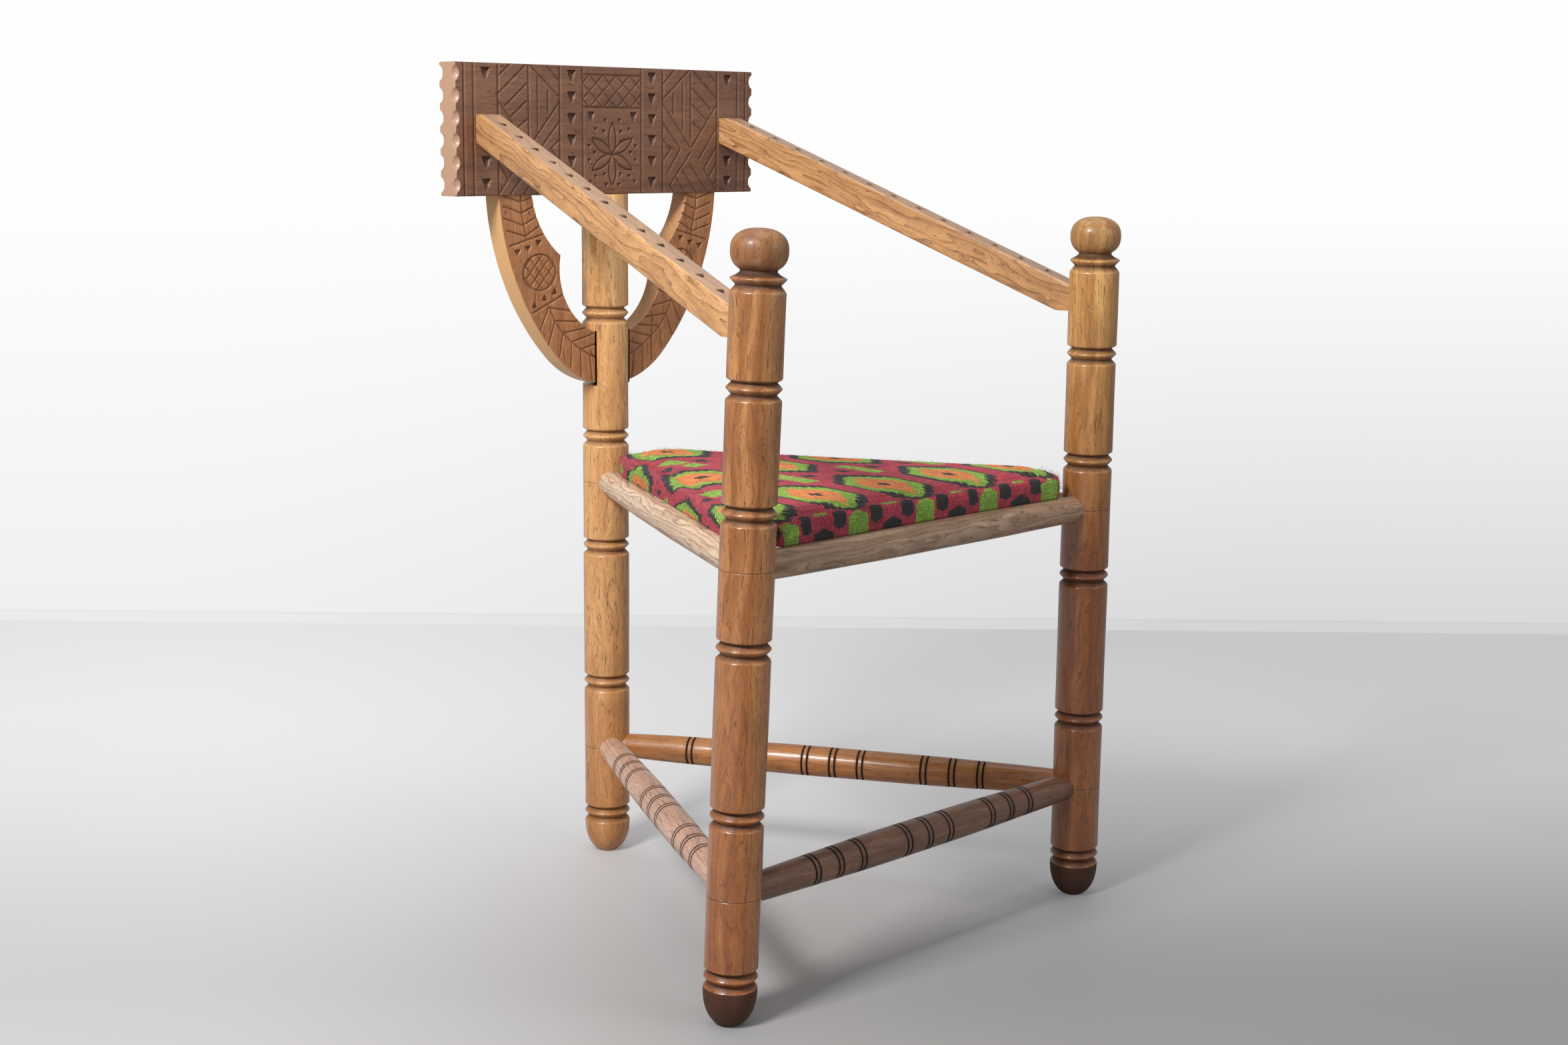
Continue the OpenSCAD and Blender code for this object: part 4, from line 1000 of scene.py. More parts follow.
def wool_weave(name):
    """Hand-worked wool in coarse slanting stitches. To the eye: matt and fuzzy, each stitch a
    rounded bead with its own shade, colours that meet in teeth along the stitches."""
    material, tree = new_material(name)
    place = node(tree, "Attribute", {"attribute_name": "weave"})["Vector"]
    # Uneven rows and loose fibres bend the edges of the colours by about 2 mm
    fray = node(tree, "TexNoise", IN_PLANE, place, Scale=0.2, Detail=4.0, Roughness=0.65)["Color"]
    frayed = node(tree, "VectorMath", "MULTIPLY_ADD", fray, (4.0, 4.0, 4.0), place)[0]
    axes = node(tree, "SeparateXYZ", {}, frayed)
    column_at = node(tree, "Math", "DIVIDE", axes[0], STITCH_W)[0]
    slant = node(tree, "Math", "PINGPONG", column_at, 1.0)[0]
    half_slant = node(tree, "Math", "MULTIPLY", slant, 0.5)[0]
    row_at = node(tree, "Math", "MULTIPLY_ADD", axes[1], 1 / STITCH_L, half_slant)[0]
    column = node(tree, "Math", "FLOOR", column_at)[0]
    row = node(tree, "Math", "FLOOR", row_at)[0]
    x = node(tree, "Math", "MULTIPLY_ADD", column, STITCH_W, STITCH_W / 2 - MEDALLION_X)[0]
    y = node(tree, "Math", "MULTIPLY_ADD", row, STITCH_L, STITCH_L / 2 - MEDALLION_Y)[0]
    # Distances from the nearest hexagon's middle, and from the middle of the space between four
    p = node(tree, "Math", "PINGPONG", x, REPEAT_X / 2)[0]
    q = node(tree, "Math", "PINGPONG", y, REPEAT_Y / 2)[0]
    far_p = node(tree, "Math", "SUBTRACT", REPEAT_X / 2, p)[0]
    far_q = node(tree, "Math", "SUBTRACT", REPEAT_Y / 2, q)[0]
    # Distances from lines beside and above that space, and, down the front side, from its middle,
    # from a line in its lower part and from one in its upper part
    away = []
    for distance, line in (
        (far_p, 23.0), (far_q, 15.0), (axes[2], 22.0), (axes[2], 29.5), (axes[2], 13.0),
    ):
        signed = node(tree, "Math", "SUBTRACT", distance, line)[0]
        away.append(node(tree, "Math", "ABSOLUTE", signed)[0])
    beside_p, above_q, from_middle, from_low, from_high = away
    shade = node(tree, "CombineXYZ", {}, column, row)[0]
    random = node(tree, "TexWhiteNoise", IN_PLANE, shade)["Value"]
    clouds = node(tree, "TexNoise", IN_PLANE, place, Scale=0.03, Detail=2.0)["Fac"]
    ground = node(tree, "Mix", COLOURS, clouds, in_6=paint("#a81d36"), in_7=paint("#c43f52"))[2]
    colour = ground
    black, green, orange = paint("#1f1c1e"), paint("#8cb43c"), paint("#e6853f")
    # Each form is drawn where both a * across and b * across + c * along stay below 1
    for across, along, a, b, c, thread in (
        (p, q, 1 / 37.5, 0.0149, 0.0147, black),
        (p, q, 1 / 33.5, 0.0181, 0.0192, green),
        (p, q, 1 / 23, 0.0330, 0.0245, orange),
        (p, q, 1 / 6, 0.100, 1 / 8, black),
        (far_p, above_q, 1 / 9, 0.0, 1 / 13, green),
        (beside_p, far_q, 1 / 6, 0.070, 1 / 9, black),
        (from_middle, from_middle, 1 / 14, 0.0, 0.0, ground),
        (p, from_middle, 1 / 14, 0.018, 1 / 14, green),
        (far_p, from_low, 1 / 14, 0.042, 1 / 12, black),
        (beside_p, from_high, 1 / 8, 0.050, 1 / 9, black),
    ):
        side = node(tree, "Math", "MULTIPLY", across, a)[0]
        part = node(tree, "Math", "MULTIPLY", across, b)[0]
        end = node(tree, "Math", "MULTIPLY_ADD", along, c, part)[0]
        reach = node(tree, "Math", "MAXIMUM", side, end)[0]
        inside = node(tree, "Math", "LESS_THAN", reach, 1.0)[0]
        colour = node(tree, "Mix", COLOURS, inside, in_6=colour, in_7=thread)[2]
    # Each stitch has its own tone, and is a bead across and along, with painted shade between the beads
    value = node(tree, "MapRange", {}, random, 0.0, 1.0, 1.2, 1.95)[0]
    in_column = node(tree, "Math", "PINGPONG", column_at, 0.5)[0]
    in_row = node(tree, "Math", "PINGPONG", row_at, 0.5)[0]
    bead = node(tree, "Math", "MINIMUM", in_column, in_row)[0]
    bead = node(tree, "MapRange", SMOOTH, bead, 0.0, 0.32, 0.0, 1.0)[0]
    lit = node(tree, "MapRange", {}, bead, 0.0, 1.0, 0.65, 1.0)[0]
    value = node(tree, "Math", "MULTIPLY", value, lit)[0]
    colour = node(tree, "HueSaturation", {}, Value=value, Color=colour)[0]
    fibres = node(tree, "TexNoise", IN_PLANE, place, Scale=2.4, Detail=3.0, Roughness=0.7)["Fac"]
    height = node(tree, "Math", "MULTIPLY_ADD", fibres, 0.5, bead)[0]
    bump = node(tree, "Bump", {}, Strength=1.0, Distance=0.0016, Height=height)[0]
    shader = node(
        tree, "BsdfPrincipled", {}, Base_Color=colour, Roughness=0.95, Normal=bump, IOR=1.45,
        Sheen_Weight=0.15, Sheen_Roughness=0.5,
    )
    node(tree, "OutputMaterial", {}, shader[0])
    return material


post_woods = ("#b87a40", "#9d5f2b", "#6b3c1b", "#512f18", "#3a1e0e")
# The posts' height factors are painted shade low down and painted light higher up, strongest on the
# right post
post_oak = oak(
    "waxed_post_oak", *post_woods, gloss=0.26, coat=0.6, dirt=0.9,
    painted_light_by_height=(0.05, (0.88, 0.76, 0.62), 0.75, (1.12, 1.33, 1.9)),
)
right_post_oak = oak(
    "painted_light_post_oak", *post_woods, gloss=0.26, coat=0.6, dirt=0.9,
    painted_light_by_height=(0.38, (0.68, 0.58, 0.58), 0.62, (1.6, 2.2, 2.9)),
)
back_oak = oak(
    "golden_post_oak", "#dba365", "#c68b50", "#96642f", "#6a431f", "#54300f", gloss=0.28, coat=0.5,
    painted_light_by_height=(0.05, (0.9, 0.8, 0.76), 0.75, (1.4, 1.65, 2.1)),
)
board_oak = oak(
    "stained_board_oak", "#95684e", "#845a43", "#63402f", "#50362a", "#3a221b", gloss=0.36,
    coat=0.25, dirt=0.55, bare_colour="#b99378",
)
brace_oak = oak(
    "waxed_brace_oak", "#ce8f5e", "#ba7e4f", "#8e5d3c", "#603c27", "#4d2b1a", gloss=0.4,
    coat=0.2, dirt=0.6, bare_colour="#dbad73",
)
arm_oak = oak(
    "waxed_arm_oak", "#dca771", "#c5925f", "#8f613d", "#6b4629", "#3a2112", gloss=0.34,
    coat=0.35, figure=0.28, dirt=1.0, bare_colour="#a98a77",
)
left_rail_oak = oak(
    "pale_rail_oak", "#e9cdb1", "#d5b597", "#a1836b", "#7a5a48", "#53382a", gloss=0.42,
    coat=0.15, figure=0.4,
)
rail_oak = oak(
    "grey_rail_oak", "#bfa087", "#9f7e63", "#705641", "#5e4838", "#453022", gloss=0.42,
    coat=0.15, figure=0.18,
)
left_bar_oak = oak(
    "pale_bar_oak", "#e9c1a3", "#cfa48b", "#9c7560", "#5d4030", "#331e12", gloss=0.34,
    coat=0.3, figure=0.15, dirt=1.0,
)
front_bar_oak = oak(
    "dark_bar_oak", "#8d6045", "#704b35", "#4f3424", "#3a2618", "#20130b", gloss=0.34,
    coat=0.35, figure=0.15, dirt=1.0,
)
right_bar_oak = oak(
    "golden_bar_oak", "#c5894b", "#aa6a36", "#7a4a27", "#5d3a1d", "#331c0c", gloss=0.36,
    coat=0.35, figure=0.1, dirt=1.0,
)
wool = wool_weave("hand_worked_wool")
wadding = raw_wadding("wool_wadding")

front_post(-1, "left_front_post", post_oak, "post_oak")
front_post(1, "right_front_post", right_post_oak, "post_oak")
back_post("back_post", back_oak, "post_oak")
back_board("back_board", board_oak, "board_oak")
horseshoe_brace("horseshoe_brace", brace_oak, "brace_oak")
arm(-1, "left_arm", arm_oak, "arm_oak", 21)
arm(1, "right_arm", arm_oak, "arm_oak", 22)
for make, kind, level, slot, first_seed, oaks in (
    (seat_rail, "seat_rail", RAIL_Z, "rail_oak", 31, (rail_oak, left_rail_oak, rail_oak)),
    (stretcher, "stretcher", STRETCHER_Z, "stretcher_oak", 41,
     (front_bar_oak, left_bar_oak, right_bar_oak)),
):
    back, left, right = back_axis(level), front_axis(-1, level), front_axis(1, level)
    make("front_" + kind, (left, right), oaks[0], slot, first_seed)
    make("left_" + kind, (back, left), oaks[1], slot, first_seed + 1)
    make("right_" + kind, (back, right), oaks[2], slot, first_seed + 2)

peg_wood = small_wood("oak_peg_wood", "#c79a68", "#9b6f45")
for node_name, finish in (
    ("brace_peg", peg_wood),
    ("arm_dowels", peg_wood),
    ("seat_cleats", small_wood("pine", "#dcb985", "#b98c56")),
    ("seat_board", small_wood("birch_ply", "#d8b98a", "#bd9560", layered=True)),
    ("cover_tacks", steel("blued_steel", "#4a4d55", 0.4)),
    ("cleat_screws", steel("zinc_plated_steel", "#b4b6b6", 0.32)),
):
    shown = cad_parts[node_name]
    shown.data.materials.clear()
    shown.data.materials.append(finish)

# The seat, on the triangle over the rails' centre lines. It bears on the rails' planed tops
SEAT_PLAY = 0.3
SEAT_H = 24
SEAT_Z = RAIL_Z + RAIL_END_D / 2 + SEAT_PLAY
SEAT_EDGE_Z = SEAT_Z + SEAT_H
ROLL_R = 7.0
CROWN = 4.0
CORNER_R = 14.0
FRONT_CUT = POST_R + 12
BACK_CUT = POST_R + 30
SIDE_DRAW = 2.5
SIDE_BULGE = 0.6
LOW_R = 2.0
HEM_W = 13.0
COVER_T = 1.8
SIDE_STRETCH = 1.7


def seat_rim(corner_steps=10, side_steps=90):
    """Samples [x, y, outward x, outward y] round the seat's edge, counter-clockwise: six rounded
    corners and three long sides that draw in by a sine bow."""
    tips = [front_axis(-1, SEAT_Z)[:2], front_axis(1, SEAT_Z)[:2], back_axis(SEAT_Z)[:2]]
    cuts = [FRONT_CUT, FRONT_CUT, BACK_CUT]
    corners = []
    for i in range(3):
        before, after = unit(tips[i - 1] - tips[i]), unit(tips[(i + 1) % 3] - tips[i])
        reach = cuts[i] / (before @ unit(before + after))
        corners += [tips[i] + before * reach, tips[i] + after * reach]
    turns = []
    for i in range(6):
        c, a, b = corners[i], unit(corners[i] - corners[i - 1]), unit(corners[(i + 1) % 6] - corners[i])
        turn = np.arccos(a @ b)
        centre = c + CORNER_R * unit(b - a) / np.cos(turn / 2)
        angle = np.arctan2(-a[0], a[1]) + turn * np.linspace(0, 1, corner_steps + 1)
        out = np.stack([np.cos(angle), np.sin(angle)], -1)
        turns.append(np.concatenate([centre + CORNER_R * out, out], 1))
    rim = []
    for i in range(6):
        rim.append(turns[i])
        steps = side_steps if i % 2 else 8
        draw = SIDE_DRAW if i % 2 else 0
        s = np.linspace(0, 1, steps + 1)[1:-1, None]
        p, q = turns[i][-1], turns[(i + 1) % 6][0]
        at = p[:2] * (1 - s) + q[:2] * s - p[2:] * draw * np.sin(np.pi * s)
        rim.append(np.concatenate([at, np.broadcast_to(p[2:], at.shape)], 1))
    return np.concatenate(rim), sum(tips) / 3


def seat_rings(rim, middle, insets, shares, heights):
    """Level rings: the rim moved inwards by an inset, then drawn towards the middle by a share."""
    at = rim[None, :, :2] - rim[None, :, 2:] * insets[:, None, None]
    at = middle + (at - middle) * shares[:, None, None]
    z = np.broadcast_to(heights[:, None, None], (*at.shape[:2], 1))
    return np.concatenate([at, z], -1)


def cover_profile():
    """Insets, shares and heights of the cover's outside from the hem's edge under the board,
    round the lower edge, up the bulging side, over a rolled edge, to the middle. The top rises
    over the roll by CROWN * (1 - share^2.2)."""
    turn = np.linspace(0, np.pi / 2, 6)[1:]
    roll = np.linspace(0, np.pi / 2, 9)
    side = np.linspace(0, 1, 8)[1:-1]
    side_low, side_high = SEAT_Z + LOW_R, SEAT_EDGE_Z - ROLL_R
    inner = np.linspace(1, 0.02, 42)[1:]
    insets = np.concatenate([
        [HEM_W, HEM_W - 4, HEM_W - 8, LOW_R], LOW_R * (1 - np.sin(turn)),
        -SIDE_BULGE * np.sin(np.pi * side), ROLL_R * (1 - np.cos(roll)),
        np.full(len(inner), ROLL_R),
    ])
    heights = np.concatenate([
        np.full(4, SEAT_Z), SEAT_Z + LOW_R * (1 - np.cos(turn)),
        side_low + (side_high - side_low) * side, side_high + ROLL_R * np.sin(roll),
        SEAT_EDGE_Z + CROWN * (1 - inner ** 2.2),
    ])
    shares = np.concatenate([np.ones(len(insets) - len(inner)), inner])
    return insets, shares, heights


def weave_places(rings, rim, insets, shares, heights):
    """Where each point lies on the flat cloth: its own x and y on top, and past the rolled edge
    the stretched distance along the surface, laid out along the rim's outward direction. The
    third value is the plain distance, on the front side only."""
    step = np.hypot(np.diff(insets), np.diff(heights))
    top = np.flatnonzero(shares < 1)[0] - 1
    out = np.zeros(len(insets))
    out[:top] = np.cumsum(step[:top][::-1])[::-1]
    edge = rim[:, :2] - rim[:, 2:] * ROLL_R
    flat = rings[..., :2].copy()
    flat[:top] = edge[None] + rim[None, :, 2:] * (out[:top, None, None] * SIDE_STRETCH)
    on_front = smoothstep((-rim[:, 3] - 0.6) * 5)
    below_edge = out[:, None] * on_front[None, :]
    return np.concatenate([flat, below_edge[..., None]], -1)


def cover_surface():
    """The cover's rim and middle, its profile, its rings and their places on the flat cloth."""
    rim, middle = seat_rim()
    profile = cover_profile()
    rings = seat_rings(rim, middle, *profile)
    return rim, middle, profile, rings, weave_places(rings, rim, *profile)


# The form that is blown up lies a little inside the cover. How far the cloth on it may then lie
# inside and outside its first place
FORM_INSET = 0.4
FORM_DROP = 0.8
FORM_CELL = 4
HELD_H = 4
SWELL_FRAMES = 20
CLOTH_IN = -0.3
CLOTH_OUT = 4.0


def puffed(source, pressure=4.0, cap=5.0):
    """A copy of the closed cushion as cloth under pressure: remeshed in even cells, its lowest
    part held, swollen with no gravity, each point's way limited to the cap in millimetres."""
    scene = bpy.context.scene
    blown = bpy.data.objects.new("blown", source)
    scene.collection.objects.link(blown)
    remesh = blown.modifiers.new("even", "REMESH")
    remesh.mode = "VOXEL"
    remesh.voxel_size = FORM_CELL * MM
    remesh.use_smooth_shade = True
    depsgraph = bpy.context.evaluated_depsgraph_get()
    even = bpy.data.meshes.new_from_object(blown.evaluated_get(depsgraph))
    blown.modifiers.clear()
    blown.data = even
    rest = points_of(even)
    held = blown.vertex_groups.new(name="held")
    held.add(np.flatnonzero(rest[:, 2] < (SEAT_Z + HELD_H) * MM).tolist(), 1.0, "REPLACE")
    cloth = blown.modifiers.new("cloth", "CLOTH")
    cloth.settings.quality = 6
    cloth.settings.mass = 0.4
    cloth.settings.tension_stiffness = 25
    cloth.settings.compression_stiffness = 25
    cloth.settings.bending_stiffness = 4
    cloth.settings.use_pressure = True
    cloth.settings.uniform_pressure_force = pressure
    cloth.settings.vertex_group_mass = "held"
    cloth.settings.effector_weights.gravity = 0
    cloth.collision_settings.use_collision = False
    for frame_number in range(1, SWELL_FRAMES + 1):
        scene.frame_set(frame_number)
    depsgraph = bpy.context.evaluated_depsgraph_get()
    swollen = bpy.data.meshes.new_from_object(blown.evaluated_get(depsgraph))
    scene.frame_set(1)
    blown.modifiers.clear()
    way = points_of(swollen) - rest
    length = np.linalg.norm(way, axis=1, keepdims=True)
    way *= np.minimum(1, cap * MM / np.maximum(length, 1e-9))
    swollen.vertices.foreach_set("co", (rest + way).astype(np.float32).ravel())
    swollen.update()
    blown.data = swollen
    return blown


def points_of(mesh):
    """A mesh's points as an array, in metres."""
    co = np.empty(len(mesh.vertices) * 3, np.float32)
    mesh.vertices.foreach_get("co", co)
    return co.reshape(-1, 3).astype(float)


def wool_cover():
    """The loose seat's cover: rings laid on the blown form, with a wall inwards. The lowest 2 mm
    stay where they are, and the next 6 mm move more and more freely."""
    rim, middle, (insets, shares, heights), rings, weave = cover_surface()
    rows, around = rings.shape[:2]
    faces = tube_faces(rows, around)
    caps = tube_caps(rows, around)
    mesh = to_mesh("wool_seat_cover", rings.reshape(-1, 3), faces, caps[1:], 180)
    mark(mesh, "weave", weave.reshape(-1, 3))
    cover = piece("wool_seat_cover", mesh, "seat", wool, "wool", "seat_cover")
    lower = heights - FORM_DROP * smoothstep(heights - SEAT_EDGE_Z)
    small = seat_rings(rim, middle, insets + FORM_INSET, shares, lower)
    closed = to_mesh("closed_seat", small.reshape(-1, 3), faces, caps, 180)
    blown = puffed(closed)
    free = cover.vertex_groups.new(name="free")
    weight = smoothstep((heights - SEAT_Z - 2) / 6)
    for row in np.flatnonzero(weight > 0):
        free.add((row * around + np.arange(around)).tolist(), float(weight[row]), "REPLACE")
    wrap = cover.modifiers.new("laid_on", "SHRINKWRAP")
    wrap.target = blown
    wrap.wrap_method = "NEAREST_SURFACEPOINT"
    wrap.vertex_group = "free"
    depsgraph = bpy.context.evaluated_depsgraph_get()
    laid = points_of(cover.evaluated_get(depsgraph).data)
    cover.modifiers.clear()
    first, outward = points_of(mesh), np.empty(len(mesh.vertices) * 3, np.float32)
    mesh.vertex_normals.foreach_get("vector", outward)
    outward = outward.reshape(-1, 3)
    rise = np.einsum("ij,ij->i", laid - first, outward)
    allowed = np.clip(rise, CLOTH_IN * MM, CLOTH_OUT * MM)
    laid = laid + outward * (allowed - rise)[:, None]
    mesh.vertices.foreach_set("co", laid.astype(np.float32).ravel())
    mesh.update()
    bpy.data.objects.remove(blown)
    wall = cover.modifiers.new("wall", "SOLIDIFY")
    wall.thickness = COVER_T * MM
    wall.offset = -1


wool_cover()


# The wadding lies on the board, WADDING_IN inside the cover's outside
BOARD_TOP_H = 11.3
WADDING_IN = 2.3


def wadding_pad():
    """The padding under the cover: the cover's rings a little further in, from the board up."""
    rim, middle = seat_rim(6, 40)
    insets, shares, heights = cover_profile()
    low = SEAT_Z + BOARD_TOP_H
    above = heights > low
    insets = np.concatenate([[40.0, 12.0], insets[above] + WADDING_IN])
    shares = np.concatenate([[1.0, 1.0], shares[above]])
    heights = np.maximum(np.concatenate([[low, low], heights[above] - WADDING_IN]), low)
    rings = seat_rings(rim, middle, insets, shares, heights)
    rows, around = rings.shape[:2]
    points = rings.reshape(-1, 3)
    mesh = to_mesh("seat_wadding", points, tube_faces(rows, around), tube_caps(rows, around), 60)
    mark(mesh, "weave", points)
    piece("seat_wadding", mesh, "seat", wadding, "wadding", "seat_padding")


wadding_pad()


FIBRE_R = 0.13
FIBRE_SINK = 0.4


def wool_fuzz(count=4200, seed=9):
    """Loose fibres that stand off the cover: thin three-sided tubes, 1.5 to 7 mm long, that
    narrow towards the end. Each runs along heading * s + curl * s^2 / 2."""
    rng = np.random.default_rng(seed)
    rim, _, profile, rings, weave = cover_surface()
    heights = profile[2]
    low, high = np.flatnonzero(heights > SEAT_Z + 4)[0], len(heights) - 26
    row, at = rng.integers(low, high, count), rng.integers(0, rings.shape[1], count)
    steep = np.clip((SEAT_EDGE_Z - heights[row]) / ROLL_R, 0, 1)[:, None]
    level = np.concatenate([rim[at, 2:], np.zeros((count, 1))], 1)
    out = unit(level * steep + np.array([0, 0, 1.0]) * (1.05 - steep))
    lean = unit(rng.normal(size=(count, 3)))
    length = rng.uniform(1.5, 7.0, (count, 1))
    s = np.array([0, 0.34, 0.68, 1.0])[None, :, None]
    curl = unit(np.cross(out, lean))
    heading = unit(out + 0.6 * lean)
    bow = heading[:, None] * s + 0.5 * curl[:, None] * s * s
    core = rings[row, at][:, None] + bow * length[:, None] - out[:, None] * FIBRE_SINK
    other = np.cross(heading, curl)
    turn = np.radians([0, 120, 240])
    corner = curl[:, None] * np.cos(turn)[:, None] + other[:, None] * np.sin(turn)[:, None]
    radius = FIBRE_R * (1 - 0.8 * s)[..., None]
    points = (core[:, :, None] + corner[:, None] * radius).reshape(-1, 3)
    quads = tube_faces(4, 3)
    sides = np.concatenate([quads[:, [0, 1, 2]], quads[:, [0, 2, 3]], [[2, 1, 0], [9, 10, 11]]])
    faces = (np.arange(count)[:, None, None] * 12 + sides).reshape(-1, 3)
    mesh = to_mesh("wool_fuzz", points, faces, (), 180)
    mark(mesh, "weave", np.repeat(weave[row, at], 12, axis=0))
    piece("wool_fuzz", mesh, "seat", wool, "wool")


wool_fuzz()

# The camera, in metres and radians, fitted to the photograph
CAMERA_PLACE = Vector((-1.6198, -1.6129, 0.8001))
CAMERA_TURN = -0.7988
CAMERA_DIP = 0.1711
CAMERA_ROLL = 0.0089
CAMERA_LENS = 51.62
# The camera's level directions
AHEAD = np.array([-np.sin(CAMERA_TURN), np.cos(CAMERA_TURN), 0.0])
TO_RIGHT = np.array([np.cos(CAMERA_TURN), np.sin(CAMERA_TURN), 0.0])
UP = np.array([0, 0, 1.0])


def camera_matrix():
    """The camera's place and its right, up and backward axes, from its turn, dip and roll."""
    ahead = np.cos(CAMERA_DIP) * AHEAD - np.sin(CAMERA_DIP) * UP
    above = np.sin(CAMERA_DIP) * AHEAD + np.cos(CAMERA_DIP) * UP
    rolled_right = np.cos(CAMERA_ROLL) * TO_RIGHT + np.sin(CAMERA_ROLL) * above
    rolled_up = -np.sin(CAMERA_ROLL) * TO_RIGHT + np.cos(CAMERA_ROLL) * above
    turned_axes = Matrix(np.stack([rolled_right, rolled_up, -ahead], 1).tolist()).to_4x4()
    return Matrix.Translation(CAMERA_PLACE) @ turned_axes


camera_data = bpy.data.cameras.new("camera")
camera_data.lens = CAMERA_LENS
camera_data.sensor_width = 36
camera_data.clip_start = 0.05
camera = bpy.data.objects.new("camera", camera_data)
camera.matrix_world = camera_matrix()
bpy.context.scene.collection.objects.link(camera)
bpy.context.scene.camera = camera


# Floor and wall, in metres. The floor ends LINE_DISTANCE ahead of the camera, and its far parts
# fade to the wall between two distances from the chair, sooner by FADE_SOONER where the camera
# doesn't see them
FLOOR_HALF = 24.0
LINE_DISTANCE = 3.617
FADE_START = 1.9
FADE_END = 3.3
FADE_SOONER = 0.8
SKIRTING_TOP = 0.2164
WALL_COLOUR = "#fefefe"
LAMPS_AIM = Vector((0, 0, 0.45))
# To the right of the chair, ahead and up from the lamps' aim, the lamp's size, and its watts. The
# key stands to the left of the camera, nearly 40 degrees up
LAMPS = {
    "key": (-1.1, -1.6, 1.5, 0.55, 60),
    "fill": (2.4, -1.4, 1.0, 1.4, 12),
    "top": (0.0, 0.4, 2.8, 2.0, 20),
}


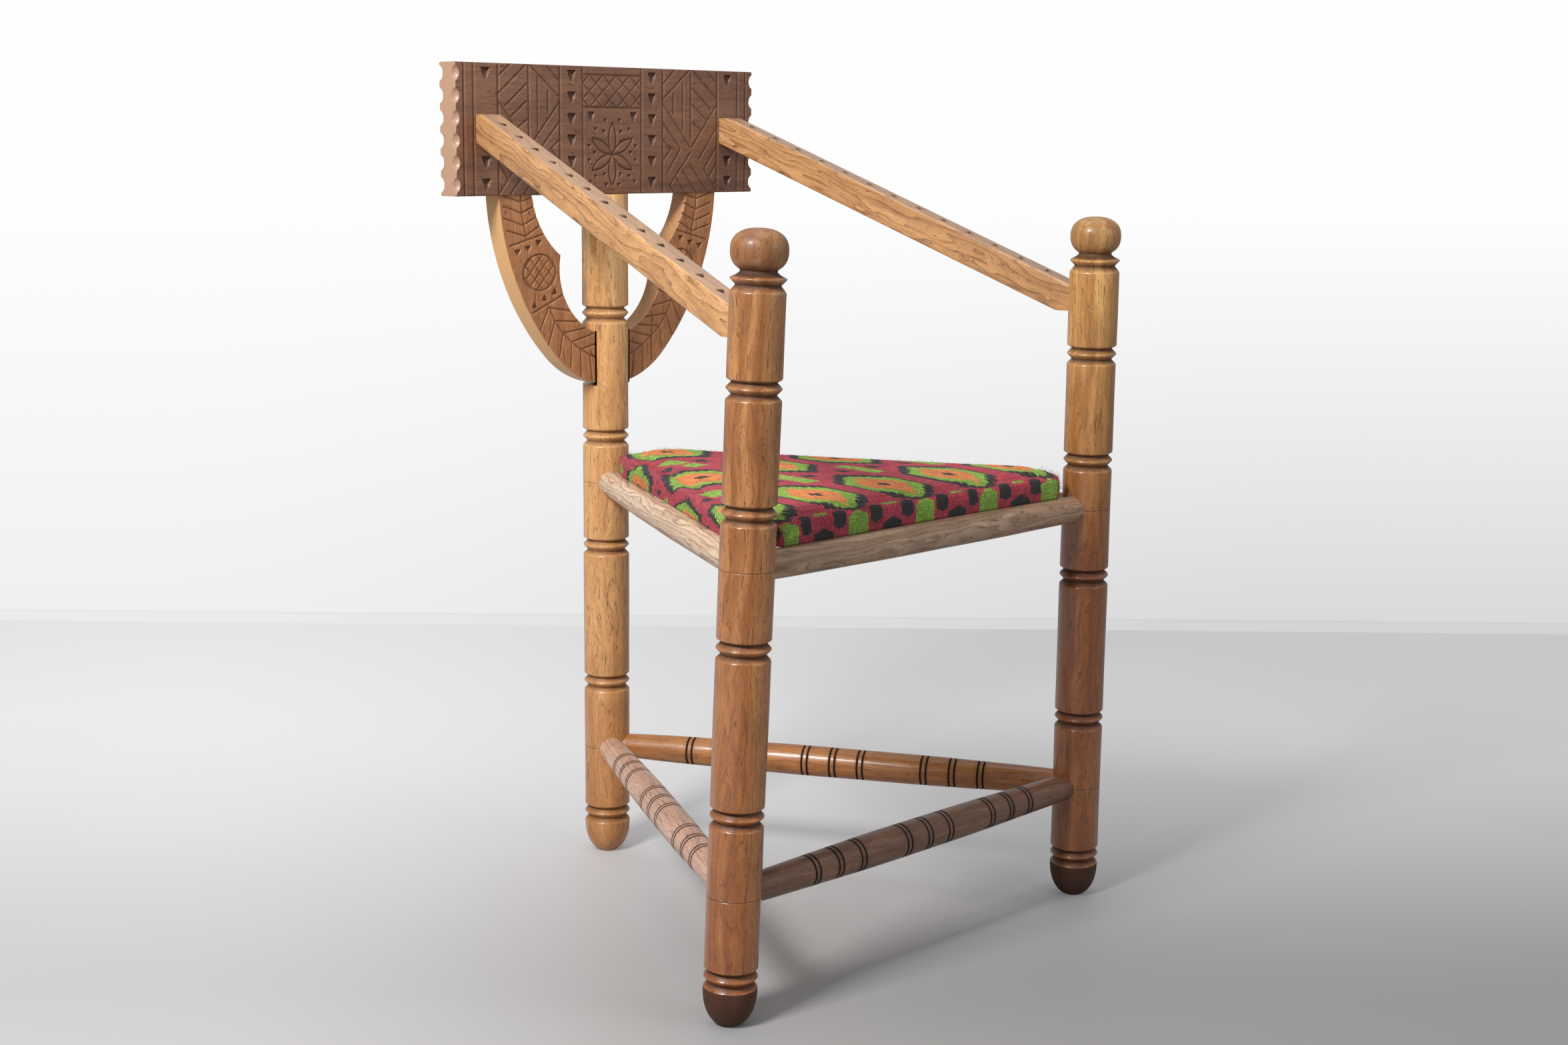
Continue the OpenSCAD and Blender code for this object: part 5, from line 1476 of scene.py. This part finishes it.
def painted_floor(name):
    """Grey floor paint, worn unevenly. Past its end line the floor shows the wall's colour to the
    camera, so that floor and wall need only one plane. Shades are drawn by two measures from the
    camera: side = across / ahead and low = height / ahead."""
    material, tree = new_material(name)
    place = node(tree, "TexCoord", {})["Object"]
    from_camera = node(tree, "VectorMath", "SUBTRACT", place, tuple(CAMERA_PLACE))[0]
    reach = node(tree, "VectorMath", "DOT_PRODUCT", from_camera, tuple(AHEAD))["Value"]
    across = node(tree, "VectorMath", "DOT_PRODUCT", from_camera, tuple(TO_RIGHT))["Value"]
    beyond = node(tree, "Math", "GREATER_THAN", reach, LINE_DISTANCE)[0]
    ahead = node(tree, "Math", "MAXIMUM", reach, 0.3)[0]
    side = node(tree, "Math", "DIVIDE", across, ahead)[0]
    low = node(tree, "Math", "DIVIDE", CAMERA_PLACE.z, ahead)[0]
    # Only other views show the floor near and behind the camera, and far to its sides
    behind = node(tree, "MapRange", SMOOTH, reach, 1.8, 0.5, 0.0, 1.0)[0]
    aside = node(tree, "Math", "ABSOLUTE", side)[0]
    aside = node(tree, "MapRange", SMOOTH, aside, 0.38, 0.7, 0.0, 1.0)[0]
    outside = node(tree, "Math", "MAXIMUM", behind, aside)[0]
    far = node(tree, "VectorMath", "LENGTH", place)["Value"]
    far = node(tree, "Math", "MULTIPLY_ADD", outside, FADE_SOONER, far)[0]
    fade = node(tree, "MapRange", SMOOTH, far, FADE_START, FADE_END, 0.0, 1.0)[0]
    beyond = node(tree, "Math", "MAXIMUM", beyond, fade)[0]
    seen = node(tree, "LightPath", {})["Is Camera Ray"]
    as_wall = node(tree, "Math", "MULTIPLY", beyond, seen)[0]
    # Painted light: both floor and wall are paler towards the left, and the wall towards its top
    shade = node(tree, "MapRange", SMOOTH, side, -0.3, 0.25, 0.65, 1.6)[0]
    below = node(tree, "MapRange", {}, low, 0.03, 0.23, 0.0, 0.2)[0]
    loss = node(tree, "Math", "MULTIPLY", below, shade)[0]
    glow = node(tree, "Math", "SUBTRACT", 1.0, loss)[0]
    # A skirting board, a shade darker, with a line of shadow at its top
    skirting = node(tree, "MapRange", {}, low, 0.2156, 0.2162, 0.0, 0.035)[0]
    top_line = node(tree, "Math", "COMPARE", low, SKIRTING_TOP, 0.0004)[0]
    darker = node(tree, "Math", "MULTIPLY_ADD", top_line, 0.03, skirting)[0]
    glow = node(tree, "Math", "SUBTRACT", glow, darker)[0]
    glow = node(tree, "Math", "MAXIMUM", glow, outside)[0]
    wall_light = node(tree, "Emission", {}, paint(WALL_COLOUR), glow)[0]
    # The paint, darker towards the right and towards the camera as painted shade, with dull and shiny
    # patches
    right = node(tree, "MapRange", SMOOTH, side, -0.3, 0.2, 0.0, 1.0)[0]
    coat = node(tree, "Mix", COLOURS, right, in_6=paint("#cfcccc"), in_7=paint("#a2a09e"))[2]
    near = node(tree, "MapRange", {}, low, 0.22, 0.4, 1.06, 0.79)[0]
    coat = node(tree, "VectorMath", "SCALE", coat, Scale=near)[0]
    stain = node(tree, "TexNoise", {}, place, Scale=2.0, Detail=4.0, Roughness=0.6)["Fac"]
    worn = node(tree, "MapRange", {}, stain, 0.3, 0.7, 0.44, 0.6)[0]
    floor_paint = node(tree, "BsdfPrincipled", {}, Base_Color=coat, Roughness=worn)[0]
    # Painted light: the far floor glows towards the wall's brightness, to the camera only
    far_glow_share = node(tree, "MapRange", SMOOTH, low, 0.25, 0.40, 0.3, 0.0)[0]
    far_glow_seen = node(tree, "Math", "MULTIPLY", far_glow_share, seen)[0]
    painted_floor_glow = node(tree, "Emission", {}, paint("#fffdfe"), far_glow_seen)[0]
    floor_paint = node(tree, "AddShader", {}, floor_paint, painted_floor_glow)[0]
    both = node(tree, "MixShader", {}, as_wall, floor_paint, wall_light)[0]
    node(tree, "OutputMaterial", {}, both)
    return material


def studio():
    """One large floor, soft lamps, and a world that shows the wall's colour to the camera."""
    mesh = bpy.data.meshes.new("floor")
    f = FLOOR_HALF
    mesh.from_pydata([(-f, -f, 0), (f, -f, 0), (f, f, 0), (-f, f, 0)], [], [(0, 1, 2, 3)])
    mesh.materials.append(painted_floor("painted_floor"))
    floor = bpy.data.objects.new("floor", mesh)
    bpy.context.scene.collection.objects.link(floor)
    world = bpy.data.worlds.new("studio")
    bpy.context.scene.world = world
    world.use_nodes = True
    tree = world.node_tree
    tree.nodes.clear()
    seen = node(tree, "LightPath", {})["Is Camera Ray"]
    light = node(tree, "Background", {}, (0.92, 0.96, 1.0, 1.0), 0.42)[0]
    wall = node(tree, "Background", {}, paint(WALL_COLOUR), 1.0)[0]
    both = node(tree, "MixShader", {}, seen, light, wall)[0]
    node(tree, "OutputWorld", {}, both)
    for lamp_name, (to_right, ahead, up, size, power) in LAMPS.items():
        data = bpy.data.lights.new(lamp_name, "AREA")
        data.size = size
        data.energy = power
        lamp = bpy.data.objects.new(lamp_name, data)
        at = LAMPS_AIM + Vector(TO_RIGHT * to_right + AHEAD * ahead + UP * up)
        lamp.location = at
        lamp.rotation_mode = "QUATERNION"
        lamp.rotation_quaternion = (LAMPS_AIM - at).to_track_quat("-Z", "Y")
        bpy.context.scene.collection.objects.link(lamp)


studio()
bpy.context.scene.view_settings.view_transform = "Standard"
